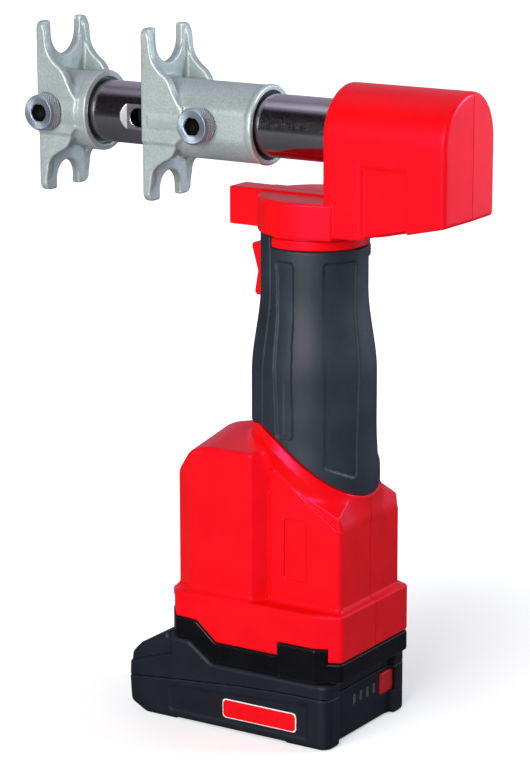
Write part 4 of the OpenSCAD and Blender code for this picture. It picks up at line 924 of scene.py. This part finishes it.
def build_head():
    for hand, side in (("left", -1), ("right", 1)):
        near, far = half_span(side, 32)
        fine = (((BLOCK_ENDS[1], 0.8, 0.3), (SIDE_REAR, 0.6, 0.3)),
                (SEAM_GRID, (side * 24, 0.6, 0.3)), ((HUB_TOP, 0.8, 0.35),))
        field = head_field(side)
        half = shape(f"head_{hand}_shell", field, (-48, near, 243), (87, far, 321), HEAD_STEP, fine)
        place_piece(half, "head", [f"head_{hand}"], "red_shell")


# Jaws, tube and lock screws

JAW_OUTER = outline(mirrored([
    (44.1, -JAW_HALF, 3.5), (-10.2, -JAW_HALF, 1.0),
    (-11.8, -JAW_HALF + 0.9, 1.0), (-40, -JAW_HALF + 0.9, 4.0)]))
RIB_UPPER = [
    (2.8, 40.6), (4.6, 39.4), (5.3, 36), (6.2, 31.2), (8.4, 26.9), (11.5, 23.7), (14.6, 21.4),
    (16.8, 18.6), (18.5, 15), (20.7, 11), (23.4, 7)]
RIB_LOWER = [
    (23.4, -7), (20.2, -10.6), (18.4, -14.6), (16.2, -17.6), (12.2, -19.9), (8.2, -22.6), (5.6, -26.2),
    (4.6, -30), (2.8, -33.8)]
WEB = np.vstack([(-10, 40.6), curve(RIB_UPPER), curve(RIB_LOWER), (-10, -33.8)])
SLOT_FLOOR, SLOT_END, LOWER_SLOT = 26.5, 70, 8.8
PLATE_T, WEB_IN, FLAT_END_IN, FLAT_HALF_L = 4.4, 14.2, 4.0, 9.8
SPOT_FACE_R, JAW_GAP, SHANK_HOLE, WIPER_R, WIPER_DEEP = 9.1, 0.1, 4.1, 16.7, 3.0
FRONT_FACE, PRESS_FACE, FRONT_SCREW_IN, PRESS_SCREW_IN = -150.2, -88.0, 6.1, 33.8
FRONT_SEAT_Y, PRESS_SEAT_Y = -18.6, -17.7
TUBE_ENDS = tuple(v[0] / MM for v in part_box("guide_tube"))
FLAT_HALF, FLAT_FRONT, FLAT_REAR, FLAT_RAMP = 6.2, -99.9, -45.0, 3.0
FLAT_Y = -math.sqrt(TUBE_R ** 2 - FLAT_HALF ** 2)
SLOT_FRONT, SLOT_REAR, SLOT_R, FRONT_HOLE_R = -93.4, -54.0, 4.4, 4.05
KNOB_R, FACE_R, KNOB_TALL, SOCKET_R, SOCKET_DEEP = 9.0, 8.0, 8.4, 4.0, 5.0
SHANK_R, SHANK_L = 4.0, 22.0
KNURLS, KNURL_DEEP, KNURL_FOOT, KNURL_TALL, KNURL_ROWS = 38, 0.7, 0.9, 5.6, 28
SPRING_FRONT, SPRING_REAR = (v.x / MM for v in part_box("return_spring"))
SPRING_R, WIRE_R, SPRING_TURNS, TURN_STEPS, WIRE_STEPS = 9.05, 1.3, 11, 40, 12


def slot_line(half, up):
    """U-shaped slot of a fork, open at the end of the fork."""
    way = 1 if up else -1
    end, floor, corner = SLOT_END * way, SLOT_FLOOR * way, half - 0.01
    return outline([(-half, end, 0), (-half, floor, corner), (half, floor, corner), (half, end, 0)], 12)


def jaw_field(face, length, slot_half, screw_in, seat, boss_r, lip, flat):
    upper, lower = slot_line(slot_half, True), slot_line(LOWER_SLOT, False)

    def field(x, y, z):
        u, w, side = x - face, z - TUBE_Z, np.abs(y)
        boss = both(np.hypot(y, w) - boss_r, u - length, 1.0)
        rise, wide = lip
        boss = join(boss, both(np.hypot(y, w) - boss_r - rise, slab(u, length - wide, length), 0.8), 0.8)
        body = join(boss, u - PLATE_T, 2.6)
        body = join(body, both(area(u, w, WEB), WEB_IN - side, 1.0), 2.2)
        beyond = join(area(w, y, JAW_OUTER), both(np.hypot(y, w) - boss_r - rise, 4 - u))
        body = both(body, both(beyond, -u, 1.1), 1.2)
        body = cut(body, area(y, w, upper), 1.1)
        body = cut(body, area(y, w, lower), 1.1)
        if flat:
            along = slab(u, screw_in - FLAT_HALF_L, length - FLAT_END_IN)
            body = cut(body, both(along, y - seat), 0.5)
        else:
            body = cut(body, both(np.hypot(u - screw_in, w) - SPOT_FACE_R, y - seat), 0.3)
        body = cut(body, np.hypot(y, w) - TUBE_R - JAW_GAP, 0.4)
        body = cut(body, both(np.hypot(u - screw_in, w) - SHANK_HOLE, y), 0.2)
        return cut(body, both(np.hypot(y, w) - WIPER_R, length - WIPER_DEEP - u), 0.5)
    return field


def flat_cut(x, y):
    """What the mill takes off the tube's left side: a long flat with a ramp at its front end."""
    ramp_end = plane(x, y, (FLAT_FRONT, FLAT_Y), (-TUBE_R - FLAT_Y, FLAT_RAMP))
    return both(both(y - FLAT_Y, ramp_end), x - FLAT_REAR)


def tube_field(x, y, z):
    low, high = TUBE_ENDS
    w = z - TUBE_Z
    body = both(np.hypot(y, w) - TUBE_R, slab(x, low, high), 0.8)
    body = cut(body, flat_cut(x, y), 0.15)
    past = np.maximum(np.maximum(SLOT_FRONT - x, x - SLOT_REAR), 0)
    body = cut(body, both(np.hypot(past, w) - SLOT_R, y), 0.3)
    hole = np.hypot(x - FRONT_FACE - FRONT_SCREW_IN, w) - FRONT_HOLE_R
    body = cut(body, both(hole, y), 0.2)
    return cut(body, np.hypot(y, w) - TUBE_BORE)


def finish_tube(tube):
    """The tube is polished, its milled flat is bare, and its inside is painted near-black as shade."""
    for material in ("seal", "milled_steel"):
        tube.data.materials.append(MATERIALS[material])
    for polygon in tube.data.polygons:
        x, y, z = polygon.center / MM
        # The bore takes the near-black seal finish as painted shade.
        if math.hypot(y, z - TUBE_Z) < TUBE_R - 1.0 and y > -TUBE_BORE:
            polygon.material_index = 1
        elif abs(flat_cut(x, y)) < 0.08:
            polygon.material_index = 2


def knob_rings():
    """Rings (radius, height, kind) of a lock screw, from its shank's tip to its socket's floor."""
    rows = [KNURL_FOOT + KNURL_TALL * k / KNURL_ROWS for k in range(KNURL_ROWS + 1)]
    shank = [(SHANK_R, -SHANK_L), (SHANK_R, 0.3), (KNOB_R - 1.0, 0.3)]
    face = [
        (KNOB_R - 0.15, 6.6), (KNOB_R - 0.2, 6.7), (FACE_R + 0.12, 7.88), (FACE_R, 8.0),
        (FACE_R - 0.12, 8.04), (FACE_R - 0.24, 8.02), (SOCKET_R + 0.85, 7.72),
        (SOCKET_R + 0.72, 7.68), (SOCKET_R + 0.55, 7.55)]
    socket = [(SOCKET_R + 0.1, 7.2), (SOCKET_R, 7.0), (SOCKET_R, KNOB_TALL - SOCKET_DEEP)]
    parts = ((shank, ""), ([(KNOB_R, h) for h in rows], "knurl"), (face, ""), (socket, "socket"))
    return [(r, h, kind) for rings, kind in parts for r, h in rings]


def knob_radius(r, h, kind, angles):
    """Radius of a ring at each angle: plain, knurled or six-sided."""
    if kind == "knurl":
        turn = KNURLS * angles / (2 * math.pi)
        climb = (h - KNURL_FOOT) / (2 * math.pi * KNOB_R / KNURLS)
        waves = [np.abs((t % 1) - 0.5) * 2 for t in (turn + climb, turn - climb)]
        return r - KNURL_DEEP * (1 - np.minimum(*waves)) + 0.1
    if kind == "socket":
        sector = angles % (math.pi / 3) - math.pi / 6
        return np.minimum(r / np.cos(sector), r * 1.08)
    return np.full(len(angles), r)


def lock_screw(name, x, seat):
    """A knurled lock screw along Y, its head on the seat at the left."""
    angles = np.linspace(0, 2 * math.pi, 6 * KNURLS, endpoint=False)
    rings = knob_rings()
    points = []
    for r, h, kind in rings:
        radii = knob_radius(r, h, kind, angles)
        ys = np.full(len(angles), seat - h)
        points.extend(zip(x + radii * np.cos(angles), ys, TUBE_Z + radii * np.sin(angles)))
    n = len(angles)
    knurl = [i for i, ring in enumerate(rings) if ring[2] == "knurl"]
    kinds = [2 if knurl[0] <= i < knurl[-1] else 0 for i in range(len(rings) - 1) for k in range(n)]
    # The socket's wall and floor take the near-black painted shade.
    kinds[-2 * n:] = [1] * (2 * n)
    return new_object(name, points, ring_faces(len(rings), n)), kinds + [0, 1]


def place_screw(obj, kinds, body, node):
    """A lock screw is bare steel; its knurl carries a painted highlight and painted shade, and its
    socket is painted near-black as shade.
    """
    place_piece(obj, body, [node], "screw_steel")
    for material in ("socket_black", "knurl_steel"):
        obj.data.materials.append(MATERIALS[material])
    obj.data.polygons.foreach_set("material_index", kinds)


def coil_spring(name):
    """Return spring in the tube's bore, one unbroken wire."""
    steps = SPRING_TURNS * TURN_STEPS + 1
    wire = np.linspace(0, 2 * math.pi, WIRE_STEPS, endpoint=False)
    radius = SPRING_R + WIRE_R * np.cos(wire)
    points = []
    for share in np.linspace(0, 1, steps):
        turn = 2 * math.pi * SPRING_TURNS * share
        x = SPRING_FRONT + WIRE_R + (SPRING_REAR - SPRING_FRONT - 2 * WIRE_R) * share
        xs = x - WIRE_R * np.sin(wire)
        points.extend(zip(xs, radius * math.cos(turn), TUBE_Z + radius * math.sin(turn)))
    return new_object(name, points, ring_faces(steps, WIRE_STEPS))


def build_press():
    front = jaw_field(FRONT_FACE, length=29.0, slot_half=12.0, screw_in=FRONT_SCREW_IN,
                      seat=FRONT_SEAT_Y, boss_r=18.6, lip=(1.2, 5.2), flat=False)
    press = jaw_field(PRESS_FACE, length=62.6, slot_half=11.2, screw_in=PRESS_SCREW_IN,
                      seat=PRESS_SEAT_Y, boss_r=19.0, lip=(0.4, 2.6), flat=True)
    obj = shape("front_jaw_casting", front, (-152, -21, 252), (-119, 21, 341), 0.55)
    place_piece(obj, "head", ["front_jaw"], "cast_jaw")
    obj = shape("press_jaw_casting", press, (-90, -21, 252), (-23, 21, 341), 0.6)
    place_piece(obj, "press", ["press_jaw"], "cast_jaw")
    low, high = (TUBE_ENDS[0] - 2, -17, TUBE_Z - 17), (TUBE_ENDS[1] + 2, 17, TUBE_Z + 17)
    tube = shape("guide_tube_body", tube_field, low, high, 0.7)
    place_piece(tube, "head", ["guide_tube"], "tube_steel")
    finish_tube(tube)
    spring = coil_spring("return_spring_coil")
    # The spring takes the near-black painted shade instead of its steel finish.
    place_piece(spring, "head", ["return_spring"], "machine_steel", "socket_black")
    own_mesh(spring)
    screw = lock_screw("front_lock_knob", FRONT_FACE + FRONT_SCREW_IN, FRONT_SEAT_Y)
    place_screw(*screw, "front_screw", "front_lock_screw")
    screw = lock_screw("press_lock_knob", PRESS_FACE + PRESS_SCREW_IN, PRESS_SEAT_Y)
    place_screw(*screw, "press_screw", "press_lock_screw")


# Scene

LILAC = (0.84, 0.78, 1.0)
SKY = (0.90, 0.94, 1.0)
COOL = (0.80, 0.88, 1.0)
BLUE = (0.72, 0.76, 1.0)
FLOOR_R, GLOW_FROM, GLOW_TO = 6.0, (0.08, 0.40), (0.45, 1.0)
AMBIENT, ROOM_DARK, CEILING, BACKDROP, CAMERA_SKY = 0.24, 0.015, 0.68, 0.52, 1.25
LAMPS = [
    dict(name="key", at=(0.1, -1.45, 0.62), toward=(0, 0, 0.2), size=(1.0, 0.7), power=24),
    dict(name="top", at=(-0.2, 0.1, 1.6), toward=(0, 0, 0.2), size=(1.2, 1.0), power=1.5, colour=COOL),
    dict(name="rear", at=(0.33, 0.20, 0.42), toward=(0.084, 0, 0.28), size=(0.12, 0.12), power=0.30,
         colour=COOL, spread=80),
    dict(name="side", at=(0.454, 0.574, 0.21), toward=(0.06, 0, 0.21), size=(0.46, 0.36), power=0.5,
         colour=BLUE),
]
CAMERA_AT = (0.695582, -1.135901, 0.493610)
CAMERA_TARGET = (-0.02917, 0.0, 0.16679)
CAMERA_ROLL, CAMERA_LENS, SENSOR = -0.10, 133.28, 36


def dress_cad_nodes():
    """Every CAD node that stays gets the material of its slot."""
    for part in frame["record"]["subparts"]:
        dress(frame["nodes"][part["node"]], part["material_slot"])


def by_ray(tree, kind, others, these):
    """A number that differs for one kind of ray; either number may come from another node."""
    node = tree.nodes.new("ShaderNodeMix")
    path = tree.nodes.new("ShaderNodeLightPath")
    tree.links.new(path.outputs[kind], node.inputs[0])
    for socket, number in ((node.inputs[2], others), (node.inputs[3], these)):
        if isinstance(number, float):
            socket.default_value = number
        else:
            tree.links.new(number, socket)
    return node.outputs[0]


def build_stage():
    """A floor that is white to the camera, darker to everything else, and keeps the shadow."""
    bpy.ops.mesh.primitive_circle_add(vertices=96, radius=FLOOR_R, fill_type="NGON")
    floor = bpy.context.object
    floor.name = "floor"
    material, tree, shader, place = new_material("floor_white")
    path = tree.nodes.new("ShaderNodeLightPath")
    tint = mixed(tree, noise(tree, place, 3, 2), (0.88, 0.88, 0.88), (0.91, 0.91, 0.91))
    others = mixed(tree, path.outputs["Is Glossy Ray"], (0.66, 0.66, 0.68), (0.20, 0.20, 0.22))
    tree.links.new(mixed(tree, path.outputs["Is Camera Ray"], others, tint), shader.inputs["Base Color"])
    shader.inputs["Roughness"].default_value = 0.9
    shader.inputs["Specular IOR Level"].default_value = 0.0
    shader.inputs["Emission Color"].default_value = (1, 1, 1, 1)
    away = tree.nodes.new("ShaderNodeVectorMath")
    away.operation = "LENGTH"
    tree.links.new(place.outputs["Object"], away.inputs[0])
    spread, level = zip(GLOW_FROM, GLOW_TO)
    glow = ranged(tree, away.outputs["Value"], *spread, *level)
    tree.links.new(by_ray(tree, "Is Camera Ray", 0.0, glow), shader.inputs["Emission Strength"])
    floor.data.materials.append(material)


def build_world():
    """Even light, and for reflections a dark room with a bright ceiling and a grey backdrop."""
    world = bpy.data.worlds.new("studio")
    bpy.context.scene.world = world
    world.use_nodes = True
    tree = world.node_tree
    place = tree.nodes.new("ShaderNodeTexCoord")
    parts = tree.nodes.new("ShaderNodeSeparateXYZ")
    tree.links.new(place.outputs["Generated"], parts.inputs[0])
    room = tree.nodes.new("ShaderNodeMath")
    room.operation = "MAXIMUM"
    ceiling = ranged(tree, parts.outputs["Z"], 0.76, 0.85, ROOM_DARK, CEILING)
    backdrop = ranged(tree, parts.outputs["Y"], 0.15, 0.40, ROOM_DARK, BACKDROP)
    tree.links.new(ceiling, room.inputs[0])
    tree.links.new(backdrop, room.inputs[1])
    level = by_ray(tree, "Is Glossy Ray", AMBIENT, room.outputs[0])
    level = by_ray(tree, "Is Camera Ray", level, CAMERA_SKY)
    back = tree.nodes["Background"]
    path = tree.nodes.new("ShaderNodeLightPath")
    tree.links.new(mixed(tree, path.outputs["Is Glossy Ray"], SKY, LILAC), back.inputs["Color"])
    tree.links.new(level, back.inputs["Strength"])


def area_lamp(name, at, toward, size, power, colour=(1.0, 1.0, 1.0), spread=180):
    lamp = bpy.data.lights.new(name, "AREA")
    lamp.spread = math.radians(spread)
    lamp.shape = "RECTANGLE"
    lamp.size, lamp.size_y = size
    lamp.energy = power
    lamp.color = colour
    obj = bpy.data.objects.new(name, lamp)
    obj.visible_camera = False
    obj.location = at
    obj.rotation_euler = (Vector(toward) - Vector(at)).to_track_quat("-Z", "Y").to_euler()
    bpy.context.scene.collection.objects.link(obj)


def build_camera():
    data = bpy.data.cameras.new("camera")
    data.lens = CAMERA_LENS
    data.sensor_width = SENSOR
    data.clip_start = 0.05
    camera = bpy.data.objects.new("camera", data)
    look = (Vector(CAMERA_TARGET) - Vector(CAMERA_AT)).to_track_quat("-Z", "Y")
    turn = look.to_matrix().to_4x4() @ Matrix.Rotation(math.radians(CAMERA_ROLL), 4, "Z")
    camera.matrix_world = Matrix.Translation(CAMERA_AT) @ turn
    bpy.context.scene.collection.objects.link(camera)
    bpy.context.scene.camera = camera


build_camera()
build_stage()
build_world()
for lamp_settings in LAMPS:
    area_lamp(**lamp_settings)
build_pack()
build_housing()
build_grip()
build_head()
build_press()
dress_cad_nodes()
bpy.context.scene.view_settings.view_transform = "Standard"
